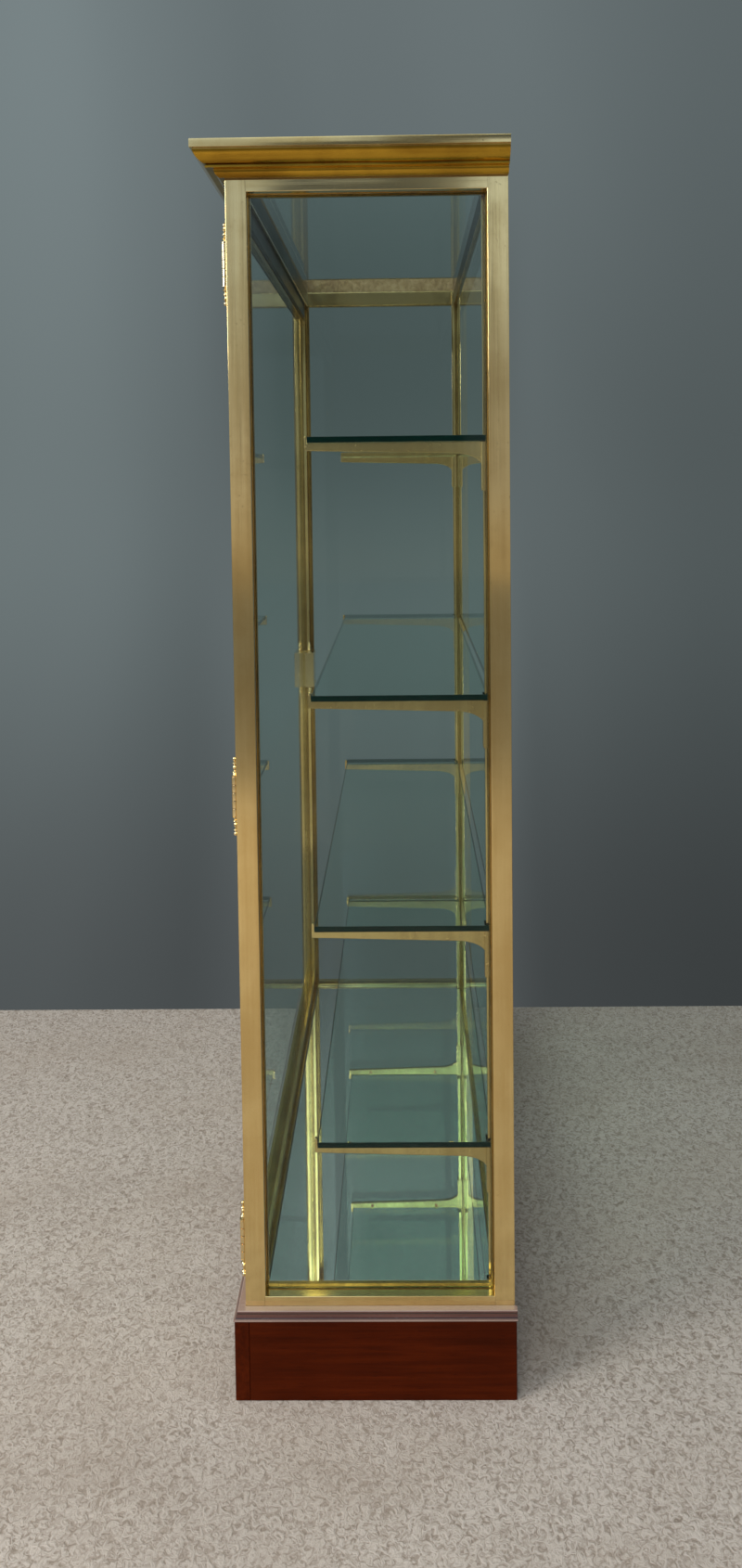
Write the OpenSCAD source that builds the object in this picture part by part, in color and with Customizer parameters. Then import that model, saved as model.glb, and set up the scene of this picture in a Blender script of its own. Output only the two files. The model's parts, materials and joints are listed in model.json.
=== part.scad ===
// Brass-framed glazed display cabinet on a mahogany plinth.
// X runs along the cabinet, the door is on the -Y side, Z is up, and the floor is z = 0.
// Left is -X, the lock side, and right is +X, the hinge side.

/* [Overall] */
// Length of the brass frame
case_l = 1067; // [800:1:1300]
// Depth of the brass frame
case_d = 400; // [320:1:520]
// Height from the floor to the top of the cornice
case_h = 1830; // [1500:1:2200]

/* [Plinth] */
// Height of the plinth boards
plinth_h = 122; // [90:1:160]
// How far the plinth boards stand out past the frame at the front and ends
plinth_out = 15; // [8:0.5:20]
// How far the back board stands out past the frame
plinth_back_out = 1.5; // [1:0.5:6]
// Thickness of the plinth boards
board_t = 22; // [18:1:28]
// Thickness of the board that the frame stands on
base_t = 18; // [12:1:24]
// Height of the moulding round the foot of the frame
moulding_h = 13; // [11:0.5:15]
// How far the moulding's lowest fillet stands out past the boards
moulding_lip = 1.5; // [1:0.5:4]
// Height of that fillet
moulding_fillet = 2.2; // [1.5:0.1:3]
// How far the moulding steps back above the fillet
moulding_step = 3; // [2:0.5:5]
// How far the moulding's upper part leans back
moulding_lean = 2.5; // [1:0.5:4]
// Side of the glue blocks inside the plinth
block_w = 40; // [30:1:60]
// Gap under the glue blocks
block_lift = 2; // [1:0.5:5]

/* [Frame] */
// Side of the square brass tube
tube_w = 30; // [26:0.5:36]
// Wall of the brass tube
tube_wall = 2.5; // [2:0.25:3.5]
// Radius on the tube's edges
tube_r = 2; // [0.5:0.25:2.5]
// Height of the bottom rails
bottom_rail_h = 27; // [24:0.5:34]

/* [Cornice] */
// How far the cornice stands out past the frame
cornice_out = 42; // [40:0.5:60]
// Height of the cornice
cornice_h = 45; // [45:0.5:60]
// How far the cornice hangs over the face of the head rail
cornice_lap = 12; // [6:0.5:14]
// Height of the flat top edge
cap_h = 12.5; // [10:0.5:14]
// Thickness of the brass casing
casing_t = 1.5; // [1:0.25:2]
// Width of the timber core on top of the frame
core_w = 18; // [14:0.5:20]
// Steps in each rounded member
arc_steps = 8; // [4:1:16]

/* [Glass] */
// Thickness of the case glass
pane_t = 6; // [4:0.5:8]
// Thickness of the shelves
shelf_t = 9; // [6:0.5:12]
// Thickness of the mirror floor
mirror_t = 6; // [4:0.5:8]
// Depth of the mirror floor below the top of the bottom rails
mirror_low = 4; // [2:0.5:8]
// Space round a pane in its frame
pane_gap = 1; // [0.5:0.25:2]
// Inner face of the end glass, behind the end of the frame
end_pane_in = 24; // [20:0.5:26]
// Inner face of the back glass, behind the back of the frame
back_pane_in = 26; // [20:0.5:27]
// Inner face of the door glass, behind the front of the frame
door_pane_in = 13; // [11:0.5:15]
// Width of the outer glazing stop
stop_w = 1; // [1:0.5:5]
// Width of the inner glazing bead
bead_w = 2.5; // [2:0.5:8]
// Depth of the outer glazing stop
stop_d = 3; // [2:0.5:4]
// Depth of the door's inner bead
door_bead_d = 6; // [4:0.5:8]

/* [Door] */
// Depth of the door
door_t = 25; // [22:0.5:26]
// Width of the stiles and rails
stile_w = 30; // [26:0.5:36]
// Wall of the door's tubes
door_wall = 2; // [1.5:0.25:3]
// Gap round the door
door_gap = 1.5; // [1.5:0.1:2.5]
// Width of the strip that the door shuts against
rebate_w = 5; // [3:0.5:8]
// Space between the shut door and that strip
rebate_gap = 0.3; // [0.3:0.1:0.6]

/* [Hinges] */
// Radius of the knuckles
knuckle_r = 5; // [4:0.25:6]
// Radius of the pin
pin_r = 2.5; // [1.5:0.25:3]
// Running clearance round the pin
pin_fit = 0.05; // [0.03:0.01:0.1]
// How far the pin stands in front of the frame
hinge_out = 6; // [6:0.25:8]
// Length of the barrel
barrel_l = 60; // [50:1:80]
// Gap between knuckles
knuckle_gap = 0.4; // [0.3:0.05:0.6]
// Thickness of a leaf
leaf_t = 1.8; // [1.5:0.1:2.2]
// Depth of the leaf into the frame's edge
leaf_let = 1.2; // [0.9:0.1:1.2]
// Width of a leaf behind the front face
leaf_w = 21; // [16:1:22]
// Height of the lowest hinge above the bottom of the door
hinge_low = 67; // [50:1:140]
// Depth of the highest hinge below the top of the door
hinge_high = 94; // [50:1:140]
// How far the middle hinge sits below the midpoint of the other two
hinge_mid_drop = 50; // [0:1:100]

/* [Screws] */
// Radius of a screw's shank
screw_r = 1.5; // [1:0.1:2]
// Radius of a screw's head
head_r = 3; // [2.5:0.1:3.5]
// Height of a screw's head
head_h = 1; // [0.6:0.1:1.2]
// Length of a screw's shank
shank_l = 7; // [5:0.5:9]
// Clearance round a shank
screw_fit = 0.05; // [0.03:0.01:0.2]

/* [Lock] */
// Width of the lock case along the door
lock_w = 52; // [44:1:60]
// Height of the lock case
lock_h = 80; // [70:1:100]
// Front of the lock case, behind the front of the door
lock_in = 16; // [15:0.5:18]
// Inner face of the lock case, behind the front of the door
lock_back = 34; // [32:0.5:38]
// Wall of the lock case
lock_wall = 2; // [1.5:0.25:3]
// Thickness of the lock cover
cover_t = 1.5; // [1:0.25:2]
// How far the lock sits below the middle of the door
lock_drop = 37; // [0:1:80]
// Depth of the key below the bolt
key_drop = 17; // [16:0.5:20]
// Distance of the key from the edge of the stile
key_in = 15; // [13:0.5:16]
// Width of the bolt
bolt_w = 8; // [6:0.5:9]
// Height of the bolt
bolt_h = 14; // [10:0.5:15]
// Length of the bolt
bolt_l = 38; // [34:1:39]
// Travel of the bolt
bolt_throw = 8; // [6:0.5:8]
// Sliding clearance of the bolt
bolt_fit = 0.3; // [0.2:0.05:0.5]
// Radius of the key's shank
key_r = 2.2; // [1.8:0.1:2.6]
// Clearance of the key in its hole
key_fit = 0.4; // [0.3:0.05:0.6]
// Reach of the key's bit
bit_reach = 9; // [6:0.5:9]
// Thickness of the key's bit
bit_t = 2; // [1.5:0.1:2.4]
// Thickness of the striking plate
keeper_t = 1.2; // [0.8:0.1:1.5]
// Width of the striking plate
keeper_w = 22; // [16:1:26]
// Height of the striking plate
keeper_h = 60; // [44:1:70]

/* [Shelves] */
// Height of the lowest shelf above the mirror floor
gap_1 = 212; // [200:1:300]
// Height of the second shelf above the first
gap_2 = 331; // [300:1:400]
// Height of the third shelf above the second
gap_3 = 346; // [300:1:400]
// Height of the fourth shelf above the third
gap_4 = 380; // [300:1:400]
// Front edge of a shelf, behind the front of the frame
shelf_in = 108; // [80:1:160]
// Space between a shelf and the inside of the frame
shelf_gap = 0.5; // [0.5:0.1:3]
// Width of the upright bar
bar_w = 12; // [10:0.5:16]
// Thickness of the upright bar
bar_t = 6; // [5:0.5:8]
// Gap between a collar and the bead beside it
bar_clear = 1; // [0.5:0.5:20]
// Clearance of the glass panels round a bar
notch_fit = 2; // [1:0.5:4]
// Sliding clearance of a collar on its bar
collar_fit = 0.3; // [0.2:0.05:0.5]
// Wall of a collar
collar_wall = 2.2; // [1.8:0.1:2.6]
// Height of a collar
collar_h = 72; // [60:1:90]
// Thickness of an arm
arm_t = 8; // [6:0.5:10]
// Height of an arm at its tip
arm_tip_h = 11.5; // [9:0.5:14]
// Height of an arm where its curved root begins
arm_root_h = 17.5; // [15:0.5:22]
// Length of the curved root under an arm
root_l = 43; // [30:1:60]
// Drop of the curved root
root_h = 21; // [16:1:30]
// Thickness of the lip at the front of an arm
lip_t = 5; // [4:0.5:6]
// How far the lip stands above the shelf
lip_up = 1.5; // [0.5:0.5:4]
// Radius of the studs on the inner side of an arm
stud_r = 3.6; // [2.5:0.1:4.5]
// Length of a stud
stud_l = 6.5; // [4:0.5:8]

/* [Hidden] */
$fn = 48;
eps = 1;

half_l = case_l / 2;
y_front = (cornice_out - plinth_back_out - moulding_lip - case_d) / 2;
y_back = y_front + case_d;
z_foot = plinth_h;
z_moulding = plinth_h + moulding_h;
z_sill = z_foot + bottom_rail_h;
z_cornice = case_h - cornice_h;
z_head = z_cornice + cornice_lap;
z_lintel = z_head - tube_w;
z_floor = z_sill - mirror_low;

open_x = half_l - tube_w;
open_y0 = y_front + tube_w;
open_y1 = y_back - tube_w;

// cornice members, as distance out from the frame and depth below the top
groove_w = 1.5;
groove_d = 2;
ovolo_out = cornice_out - 3.5;
ovolo_z = cap_h + groove_w;
ovolo_drop = 17;
ovolo_bulge = 36;
fillet_out = 22.5;
quirk = 1;
fillet_z = ovolo_z + ovolo_drop;
fillet_h = 3;
foot_z = fillet_z + quirk + fillet_h;
foot_out = [13, 7];
foot_bulge = 14;

door_x0 = -open_x + door_gap;
door_x1 = open_x - door_gap;
door_z0 = z_sill + door_gap;
door_z1 = z_lintel - door_gap;
door_y1 = y_front + door_t;
rebate_y = door_y1 + rebate_gap;

axis_x = open_x - door_gap / 2;
axis_y = y_front - hinge_out;
low_z = door_z0 + hinge_low;
high_z = door_z1 - hinge_high;
hinge_z = [low_z, (low_z + high_z) / 2 - hinge_mid_drop, high_z];
knuckles = 5;
knuckle_l = barrel_l / knuckles;
leaf_screws = [-20, 0, 20];
leaf_x = door_gap / 2 + leaf_let - leaf_t;
screw_y = y_front + 14;
hole_r = screw_r + screw_fit;

lock_z = (door_z0 + door_z1) / 2 - lock_drop;
key_x = door_x0 + key_in;
key_z = lock_z - key_drop;
bolt_y = y_front + 19;
keyhole_r = key_r + key_fit;
keeper_y = y_front + 23;
keeper_screws = [-22, 22];
boss_r = 3.2;
boss_in = 5;

collar_half = bar_w / 2 + collar_fit + collar_wall;
bar_x = open_x - bead_w - bar_clear - collar_half;
bar_y0 = open_y1 - bar_t;
bar_z0 = z_floor - mirror_t;
bar_z1 = z_head - 5;
bar_screws = [z_foot + bottom_rail_h * 0.75, z_lintel + tube_w / 2];
arm_tip = y_front + shelf_in - lip_t;
collar_y0 = bar_y0 - collar_fit - collar_wall;
collar_y1 = open_y1 + collar_fit + collar_wall;
stud_places = [0.2, 0.8];
stud_drop = 0.4;
root_bite = 0.3;
shelf_z = [
    z_floor + gap_1,
    z_floor + gap_1 + gap_2,
    z_floor + gap_1 + gap_2 + gap_3,
    z_floor + gap_1 + gap_2 + gap_3 + gap_4
];

// ---- general shapes ----

// Box between two corners
module block(a, b) {
    translate(a) cube(b - a);
}

// Square with rounded corners, from the origin
module rounded_section(w, d, r) {
    translate([r, 0]) square([w - 2 * r, d]);
    translate([0, r]) square([w, d - 2 * r]);
    for (x = [r, w - r], y = [r, d - r])
        translate([x, y]) circle(r);
}

// Hollow tube section, from the origin
module tube_section(w, d, wall) {
    difference() {
        rounded_section(w, d, tube_r);
        translate([wall, wall]) square([w - 2 * wall, d - 2 * wall]);
    }
}

// Lay a section along +X or along +Y, with its own y upright
module along_x(length) {
    rotate([90, 0, 90]) linear_extrude(length) children();
}
module along_y(length) {
    translate([0, length, 0]) rotate([90, 0, 0]) linear_extrude(length) children();
}

// Hole or pin along X, Y or Z, from a point
module rod_x(p, r, l) {
    translate(p) rotate([0, 90, 0]) cylinder(r = r, h = l);
}
module rod_y(p, r, l) {
    translate(p) rotate([-90, 0, 0]) cylinder(r = r, h = l);
}

// Flat rectangular ring, upright, facing Y or facing X
module ring_facing_y(x0, x1, z0, z1, w, y0, y1) {
    difference() {
        block([x0, y0, z0], [x1, y1, z1]);
        block([x0 + w, y0 - eps, z0 + w], [x1 - w, y1 + eps, z1 - w]);
    }
}
module ring_facing_x(y0, y1, z0, z1, w, x0, x1) {
    difference() {
        block([x0, y0, z0], [x1, y1, z1]);
        block([x0 - eps, y0 + w, z0 + w], [x1 + eps, y1 - w, z1 - w]);
    }
}

// Turned finial that stands on z = 0: a disc, a neck and beads that grow smaller
module finial(scale_h = 1) {
    beads = [[4.6, 8], [3.4, 15], [4, 21], [2.6, 27]];
    cylinder(r = knuckle_r - 0.4, h = 2.4);
    cylinder(r = 1.8, h = 27 * scale_h);
    for (b = beads)
        translate([0, 0, b[1] * scale_h]) sphere(b[0] * 0.86);
}

// ---- plinth ----
module plinth_board_front() {
    block([-half_l - plinth_out, y_front - plinth_out, 0],
          [half_l + plinth_out, y_front - plinth_out + board_t, plinth_h]);
}
module plinth_front() {
    color("saddlebrown") plinth_board_front();
}
module plinth_end() {
    block([half_l + plinth_out - board_t, y_front - plinth_out + board_t, 0],
          [half_l + plinth_out, y_back + plinth_back_out, plinth_h]);
}
module plinth_end_right() {
    color("saddlebrown") plinth_end();
}
module plinth_end_left() {
    color("saddlebrown") mirror([1, 0, 0]) plinth_end();
}
module plinth_back() {
    x = half_l + plinth_out - board_t;
    color("peru")
        block([-x, y_back + plinth_back_out - board_t, 0], [x, y_back + plinth_back_out, plinth_h]);
}

inner_x = half_l + plinth_out - board_t;
inner_y0 = y_front - plinth_out + board_t;
inner_y1 = y_back + plinth_back_out - board_t;

// A glue block in each corner and two at the middle of the long boards
module plinth_blocks() {
    color("burlywood")
        for (x = [-inner_x, -block_w / 2, inner_x - block_w], y = [inner_y0, inner_y1 - block_w])
            block([x, y, block_lift], [x + block_w, y + block_w, plinth_h - base_t]);
}
module base_board() {
    color("burlywood")
        block([-inner_x, inner_y0, plinth_h - base_t], [inner_x, inner_y1, plinth_h]);
}

// Moulding section: x out from the frame, y up from the boards
module moulding_section(out) {
    top_out = out - moulding_step - moulding_lean;
    polygon([
        [0, 0], [out, 0], [out, moulding_fillet], [out - moulding_step, moulding_fillet],
        [out - moulding_step, moulding_fillet + 2],
        [top_out + 0.8, moulding_h - 1.4], [top_out - 0.6, moulding_h], [0, moulding_h]
    ]);
}

// Cuts a run at 45 degrees where it meets the front right corner of the frame
module mitre(reach, z0, z1) {
    translate([half_l, y_front, z0 - eps])
        rotate([0, 0, -45])
            translate([-reach * 3, 0, 0]) cube([reach * 6, reach * 6, z1 - z0 + 2 * eps]);
}
module front_run(out, z0, z1) {
    difference() {
        translate([-half_l - out, y_front, 0])
            mirror([0, 1, 0]) along_x(case_l + 2 * out) children();
        for (m = [0, 1])
            mirror([m, 0, 0]) mitre(out + core_w, z0, z1);
    }
}
module end_run(out, z0, z1, tail) {
    intersection() {
        translate([half_l, y_front - out, 0])
            along_y(case_d + out + tail) children();
        union() {
            mitre(out + core_w, z0, z1);
            block([half_l - out - core_w, y_front + core_w, z0 - eps],
                  [half_l + out + eps, y_back + tail + eps, z1 + eps]);
        }
    }
}
moulding_out = plinth_out + moulding_lip;
module moulding_profile() {
    translate([0, plinth_h]) moulding_section(moulding_out);
}
module plinth_moulding() {
    back_out = plinth_back_out + moulding_lip;
    color("sienna") {
        front_run(moulding_out, z_foot, z_moulding) moulding_profile();
        for (m = [0, 1])
            mirror([m, 0, 0])
                end_run(moulding_out, z_foot, z_moulding, back_out) moulding_profile();
        block([-half_l, y_back, plinth_h], [half_l, y_back + back_out, z_moulding]);
    }
}

// ---- floor ----
module floor_panel(z0, z1) {
    block([-open_x + shelf_gap, open_y0 + shelf_gap, z0], [open_x - shelf_gap, open_y1 - shelf_gap, z1]);
}
module floor_bed() {
    color("burlywood") floor_panel(plinth_h, z_floor - mirror_t);
}
module floor_mirror() {
    color("lightgray") difference() {
        floor_panel(z_floor - mirror_t, z_floor);
        bar_notches(z_floor - mirror_t, mirror_t);
    }
}

// ---- brass frame ----
module post(x, y) {
    translate([x, y, z_foot]) linear_extrude(z_head - z_foot) tube_section(tube_w, tube_w, tube_wall);
}
module post_back_left() {
    color("goldenrod") post(-half_l, open_y1);
}
module post_back_right() {
    color("goldenrod") post(open_x, open_y1);
}
module post_front_right() {
    color("goldenrod") difference() {
        post(open_x, y_front);
        for (z = hinge_z) {
            block([open_x - eps, y_front - eps, z - barrel_l / 2],
                  [open_x + leaf_let, y_front + leaf_w, z + barrel_l / 2]);
            for (s = leaf_screws)
                rod_x([open_x - eps, screw_y, z + s], hole_r, 2 * tube_wall);
        }
    }
}
module keeper_plate(x0, x1) {
    block([x0, keeper_y - keeper_w / 2, lock_z - keeper_h / 2],
          [x1, min(keeper_y + keeper_w / 2, open_y0 - tube_r), lock_z + keeper_h / 2]);
}
module bolt_slot(x0, x1, fit) {
    block([x0, bolt_y - fit, lock_z - bolt_h / 2 - fit],
          [x1, bolt_y + bolt_w + fit, lock_z + bolt_h / 2 + fit]);
}
module post_front_left() {
    color("goldenrod") difference() {
        post(-half_l, y_front);
        keeper_plate(-open_x - keeper_t, -open_x + eps);
        bolt_slot(-open_x - tube_wall - eps, -open_x + eps, 2 * bolt_fit);
        for (s = keeper_screws)
            rod_x([-open_x - 2 * tube_wall, screw_y + 3, lock_z + s], hole_r, 3 * tube_wall);
    }
}
module rail_x(y, z, h) {
    translate([-open_x, y, z]) along_x(2 * open_x) tube_section(tube_w, h, tube_wall);
}
module rail_y(x, z, h) {
    translate([x, open_y0, z]) along_y(open_y1 - open_y0) tube_section(tube_w, h, tube_wall);
}
// Room for the shelf uprights in a panel that reaches back to them
module bar_notches(z, t) {
    n = bar_w / 2 + notch_fit;
    for (x = [-bar_x, bar_x])
        block([x - n, bar_y0 - notch_fit, z - eps], [x + n, y_back, z + t + eps]);
}
// Screw holes for the feet and heads of the shelf uprights
module upright_holes() {
    for (x = [-bar_x, bar_x], z = bar_screws)
        rod_y([x, bar_y0 - eps, z], hole_r, bar_t + tube_wall + 2 * eps);
}
module bottom_rail_front() {
    color("goldenrod") rail_x(y_front, z_foot, bottom_rail_h);
}
module bottom_rail_back() {
    color("goldenrod") difference() {
        rail_x(open_y1, z_foot, bottom_rail_h);
        upright_holes();
    }
}
module bottom_rail_left() {
    color("goldenrod") rail_y(-half_l, z_foot, bottom_rail_h);
}
module bottom_rail_right() {
    color("goldenrod") rail_y(open_x, z_foot, bottom_rail_h);
}
module head_rail_front() {
    color("goldenrod") rail_x(y_front, z_lintel, tube_w);
}
module head_rail_back() {
    color("goldenrod") difference() {
        rail_x(open_y1, z_lintel, tube_w);
        upright_holes();
    }
}
module head_rail_left() {
    color("goldenrod") rail_y(-half_l, z_lintel, tube_w);
}
module head_rail_right() {
    color("goldenrod") rail_y(open_x, z_lintel, tube_w);
}

// ---- cornice ----
// Centre of an arc of radius r that bulges outwards and down between a and b
function arc_centre(a, b, r) =
    let (c = b - a, n = [-c[1], c[0]] / norm(c), m = (a + b) / 2)
        m - n * sqrt(r * r - norm(c) * norm(c) / 4);
// Points of that arc, drawn inside it by t
function arc_points(a, b, r, t) =
    let (
        c = arc_centre(a, b, r),
        a0 = atan2(a[1] - c[1], a[0] - c[0]),
        a1 = atan2(b[1] - c[1], b[0] - c[0])
    )
        [for (i = [0:arc_steps])
            let (w = a0 + (a1 - a0) * i / arc_steps)
                c + (r - t) * [cos(w), sin(w)]];
function reversed(list) = [for (i = [len(list) - 1:-1:0]) list[i]];

ovolo_a = [ovolo_out, -ovolo_z];
ovolo_b = [fillet_out, -fillet_z];
foot_a = [foot_out[0], -foot_z];
foot_b = [foot_out[1], -cornice_h];

// Face of the cornice from its top to its foot, x out from the frame, y from the top
function cornice_face() = concat(
    [
        [cornice_out, 0], [cornice_out, -cap_h], [ovolo_out - groove_d, -cap_h],
        [ovolo_out - groove_d, -ovolo_z]
    ],
    arc_points(ovolo_a, ovolo_b, ovolo_bulge, 0),
    [
        [fillet_out - quirk, -fillet_z], [fillet_out - quirk, -fillet_z - quirk],
        [fillet_out, -fillet_z - quirk], [fillet_out, -foot_z]
    ],
    arc_points(foot_a, foot_b, foot_bulge, 0),
    [[0, -cornice_h]]
);
// The same line inside the casing, which passes behind the groove and the quirk
function cornice_lining(t) = concat(
    [[cornice_out - t, -t], [cornice_out - t, t - cap_h], [ovolo_out - groove_d - t, t - cap_h]],
    arc_points(ovolo_a, ovolo_b, ovolo_bulge, t + groove_d),
    [[fillet_out - quirk - 2 * t, t - foot_z], [foot_out[0] - t, t - foot_z]],
    arc_points(foot_a, foot_b, foot_bulge, t),
    [[0, t - cornice_h]]
);
rail_top = cornice_lap - cornice_h;

module casing_section() {
    translate([0, case_h])
        polygon(concat(
            [[-core_w, 0]], cornice_face(), reversed(cornice_lining(casing_t)), [[-core_w, -casing_t]]
        ));
}
module core_section() {
    translate([0, case_h])
        polygon(concat(
            cornice_lining(casing_t), [[0, rail_top], [-core_w, rail_top], [-core_w, -casing_t]]
        ));
}
module cornice_front() {
    color("darkgoldenrod") front_run(cornice_out, z_cornice, case_h) casing_section();
}
module cornice_right() {
    color("darkgoldenrod") end_run(cornice_out, z_cornice, case_h, 0) casing_section();
}
module cornice_left() {
    color("darkgoldenrod") mirror([1, 0, 0]) end_run(cornice_out, z_cornice, case_h, 0) casing_section();
}
module cornice_back() {
    x = half_l - core_w;
    color("darkgoldenrod") {
        block([-x, y_back - core_w, case_h - casing_t], [x, y_back, case_h]);
        block([-x, y_back - casing_t, z_head], [x, y_back, case_h - casing_t]);
    }
}
module cornice_core() {
    x = half_l - core_w;
    color("burlywood") {
        front_run(cornice_out, z_cornice, case_h) core_section();
        for (m = [0, 1])
            mirror([m, 0, 0]) end_run(cornice_out, z_cornice, case_h, 0) core_section();
        block([-x, y_back - core_w, z_head], [x, y_back - casing_t, case_h - casing_t]);
    }
}

// ---- fixed glass ----
module top_glass() {
    x = half_l - core_w - pane_gap;
    color("lightcyan", 0.4)
        block([-x, y_front + core_w + pane_gap, z_head], [x, y_back - core_w - pane_gap, z_head + pane_t]);
}
module back_glass() {
    y = y_back - back_pane_in;
    color("lightcyan", 0.4)
        block([-open_x + pane_gap, y, z_sill + pane_gap], [open_x - pane_gap, y + pane_t, z_lintel - pane_gap]);
}
module end_pane() {
    x = half_l - end_pane_in;
    block([x, open_y0 + pane_gap, z_sill + pane_gap], [x + pane_t, open_y1 - pane_gap, z_lintel - pane_gap]);
}
module end_glass_right() {
    color("lightcyan", 0.4) end_pane();
}
module end_glass_left() {
    color("lightcyan", 0.4) mirror([1, 0, 0]) end_pane();
}
module back_beads() {
    y = y_back - back_pane_in;
    color("goldenrod") {
        ring_facing_y(-open_x, open_x, z_sill, z_lintel, bead_w, open_y1, y);
        ring_facing_y(-open_x, open_x, z_sill, z_lintel, stop_w, y + pane_t, y + pane_t + stop_d);
    }
}
module end_beads() {
    x = half_l - end_pane_in;
    ring_facing_x(open_y0, open_y1, z_sill, z_lintel, bead_w, open_x, x);
    ring_facing_x(open_y0, open_y1, z_sill, z_lintel, stop_w, x + pane_t, x + pane_t + stop_d);
}
module end_beads_right() {
    color("goldenrod") end_beads();
}
module end_beads_left() {
    color("goldenrod") mirror([1, 0, 0]) end_beads();
}

// ---- strips the door shuts against, left out where the lock passes ----
module door_rebate_strips() {
    color("goldenrod") difference() {
        ring_facing_y(-open_x, open_x, z_sill, z_lintel, rebate_w, rebate_y, open_y0);
        block([-open_x - eps, rebate_y - eps, lock_z - lock_h / 2 - 2],
              [-open_x + rebate_w + eps, open_y0 + eps, lock_z + lock_h / 2 + 2]);
    }
}

// ---- shelf uprights ----
module shelf_uprights() {
    color("goldenrod") difference() {
        for (x = [-bar_x, bar_x])
            block([x - bar_w / 2, bar_y0, bar_z0], [x + bar_w / 2, open_y1, bar_z1]);
        upright_holes();
        for (x = [-bar_x, bar_x], z = bar_screws)
            rod_y([x, bar_y0 - eps, z], head_r + screw_fit, head_h + eps);
    }
}

// ---- hinges ----
// One side of a hinge at z = 0, right of the joint; first is its lowest knuckle
module hinge_leaf(first) {
    difference() {
        union() {
            block([leaf_x, y_front - 0.5, -barrel_l / 2], [leaf_x + leaf_t, y_front + leaf_w, barrel_l / 2]);
            for (k = [first:2:knuckles - 1]) {
                z0 = -barrel_l / 2 + k * knuckle_l + (k > 0 ? knuckle_gap / 2 : 0);
                z1 = -barrel_l / 2 + (k + 1) * knuckle_l - (k < knuckles - 1 ? knuckle_gap / 2 : 0);
                translate([0, axis_y, z0]) cylinder(r = knuckle_r, h = z1 - z0);
                block([leaf_x, axis_y, z0], [leaf_x + leaf_t, y_front, z1]);
            }
        }
        translate([0, axis_y, -barrel_l]) cylinder(r = pin_r + pin_fit, h = 2 * barrel_l);
        for (s = leaf_screws) {
            rod_x([leaf_x - eps, screw_y, s], hole_r, leaf_t + 2 * eps);
            rod_x([leaf_x - eps, screw_y, s], head_r + screw_fit, head_h + eps);
        }
    }
}
module hinge_frame_leaves() {
    color("gold")
        for (z = hinge_z)
            translate([axis_x, 0, z]) hinge_leaf(0);
}
module hinge_door_leaves() {
    color("gold")
        for (z = hinge_z)
            translate([axis_x, 0, z]) mirror([1, 0, 0]) hinge_leaf(1);
}
module hinge_pins() {
    color("gold")
        for (z = hinge_z)
            translate([axis_x, axis_y, z]) {
                translate([0, 0, -barrel_l / 2]) cylinder(r = pin_r, h = barrel_l);
                for (m = [0, 1])
                    mirror([0, 0, m]) translate([0, 0, barrel_l / 2]) finial();
            }
}

// ---- screws ----
// Screw along +X or +Y with the face of its head at the point
module screw_x(p) {
    rod_x(p, head_r, head_h);
    rod_x(p, screw_r, head_h + shank_l);
}
module screw_y_axis(p) {
    rod_y(p, head_r, head_h);
    rod_y(p, screw_r, head_h + shank_l);
}
module frame_screws() {
    color("gold") {
        for (z = hinge_z, s = leaf_screws)
            screw_x([axis_x + leaf_x, screw_y, z + s]);
        for (s = keeper_screws)
            mirror([1, 0, 0]) screw_x([open_x, screw_y + 3, lock_z + s]);
        for (x = [-bar_x, bar_x], z = bar_screws)
            screw_y_axis([x, bar_y0, z]);
    }
}
module door_screws() {
    color("gold") {
        for (z = hinge_z, s = leaf_screws)
            translate([axis_x, 0, 0]) mirror([1, 0, 0]) screw_x([leaf_x, screw_y, z + s]);
        for (p = cover_screws)
            translate([p[0], y_front + lock_back + cover_t, p[1]])
                mirror([0, 1, 0]) {
                    rod_y([0, -head_h, 0], head_r, head_h);
                    rod_y([0, 0, 0], screw_r, shank_l);
                }
    }
}

// ---- door ----
module stile(x) {
    translate([x, y_front, door_z0]) linear_extrude(door_z1 - door_z0) tube_section(stile_w, door_t, door_wall);
}
module door_rail(z) {
    translate([door_x0 + stile_w, y_front, z])
        along_x(door_x1 - door_x0 - 2 * stile_w) tube_section(door_t, stile_w, door_wall);
}
module door_stile_hinge() {
    color("goldenrod") difference() {
        stile(door_x1 - stile_w);
        for (z = hinge_z) {
            block([door_x1 - leaf_let, y_front - eps, z - barrel_l / 2],
                  [door_x1 + eps, y_front + leaf_w, z + barrel_l / 2]);
            for (s = leaf_screws)
                rod_x([door_x1 - 2 * door_wall, screw_y, z + s], hole_r, 3 * door_wall);
        }
    }
}
// Round hole with a slot below it for the bit
module keyhole(y0, y1) {
    rod_y([key_x, y0, key_z], keyhole_r, y1 - y0);
    block([key_x - bit_t / 2 - key_fit, y0, key_z - bit_reach - key_fit],
          [key_x + bit_t / 2 + key_fit, y1, key_z]);
}
module lock_space(fit) {
    block([door_x0 - fit, y_front + lock_in - fit, lock_z - lock_h / 2 - fit],
          [door_x0 + lock_w + fit, y_front + lock_back + fit, lock_z + lock_h / 2 + fit]);
}
module door_stile_lock() {
    color("goldenrod") difference() {
        stile(door_x0);
        lock_space(0);
        keyhole(y_front - eps, y_front + door_wall + eps);
    }
}
module door_rail_top() {
    color("goldenrod") door_rail(door_z1 - stile_w);
}
module door_rail_bottom() {
    color("goldenrod") door_rail(door_z0);
}
module door_glass() {
    y = y_front + door_pane_in;
    gap = stile_w + pane_gap;
    color("lightcyan", 0.4)
        block([door_x0 + gap, y - pane_t, door_z0 + gap], [door_x1 - gap, y, door_z1 - gap]);
}
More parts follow.
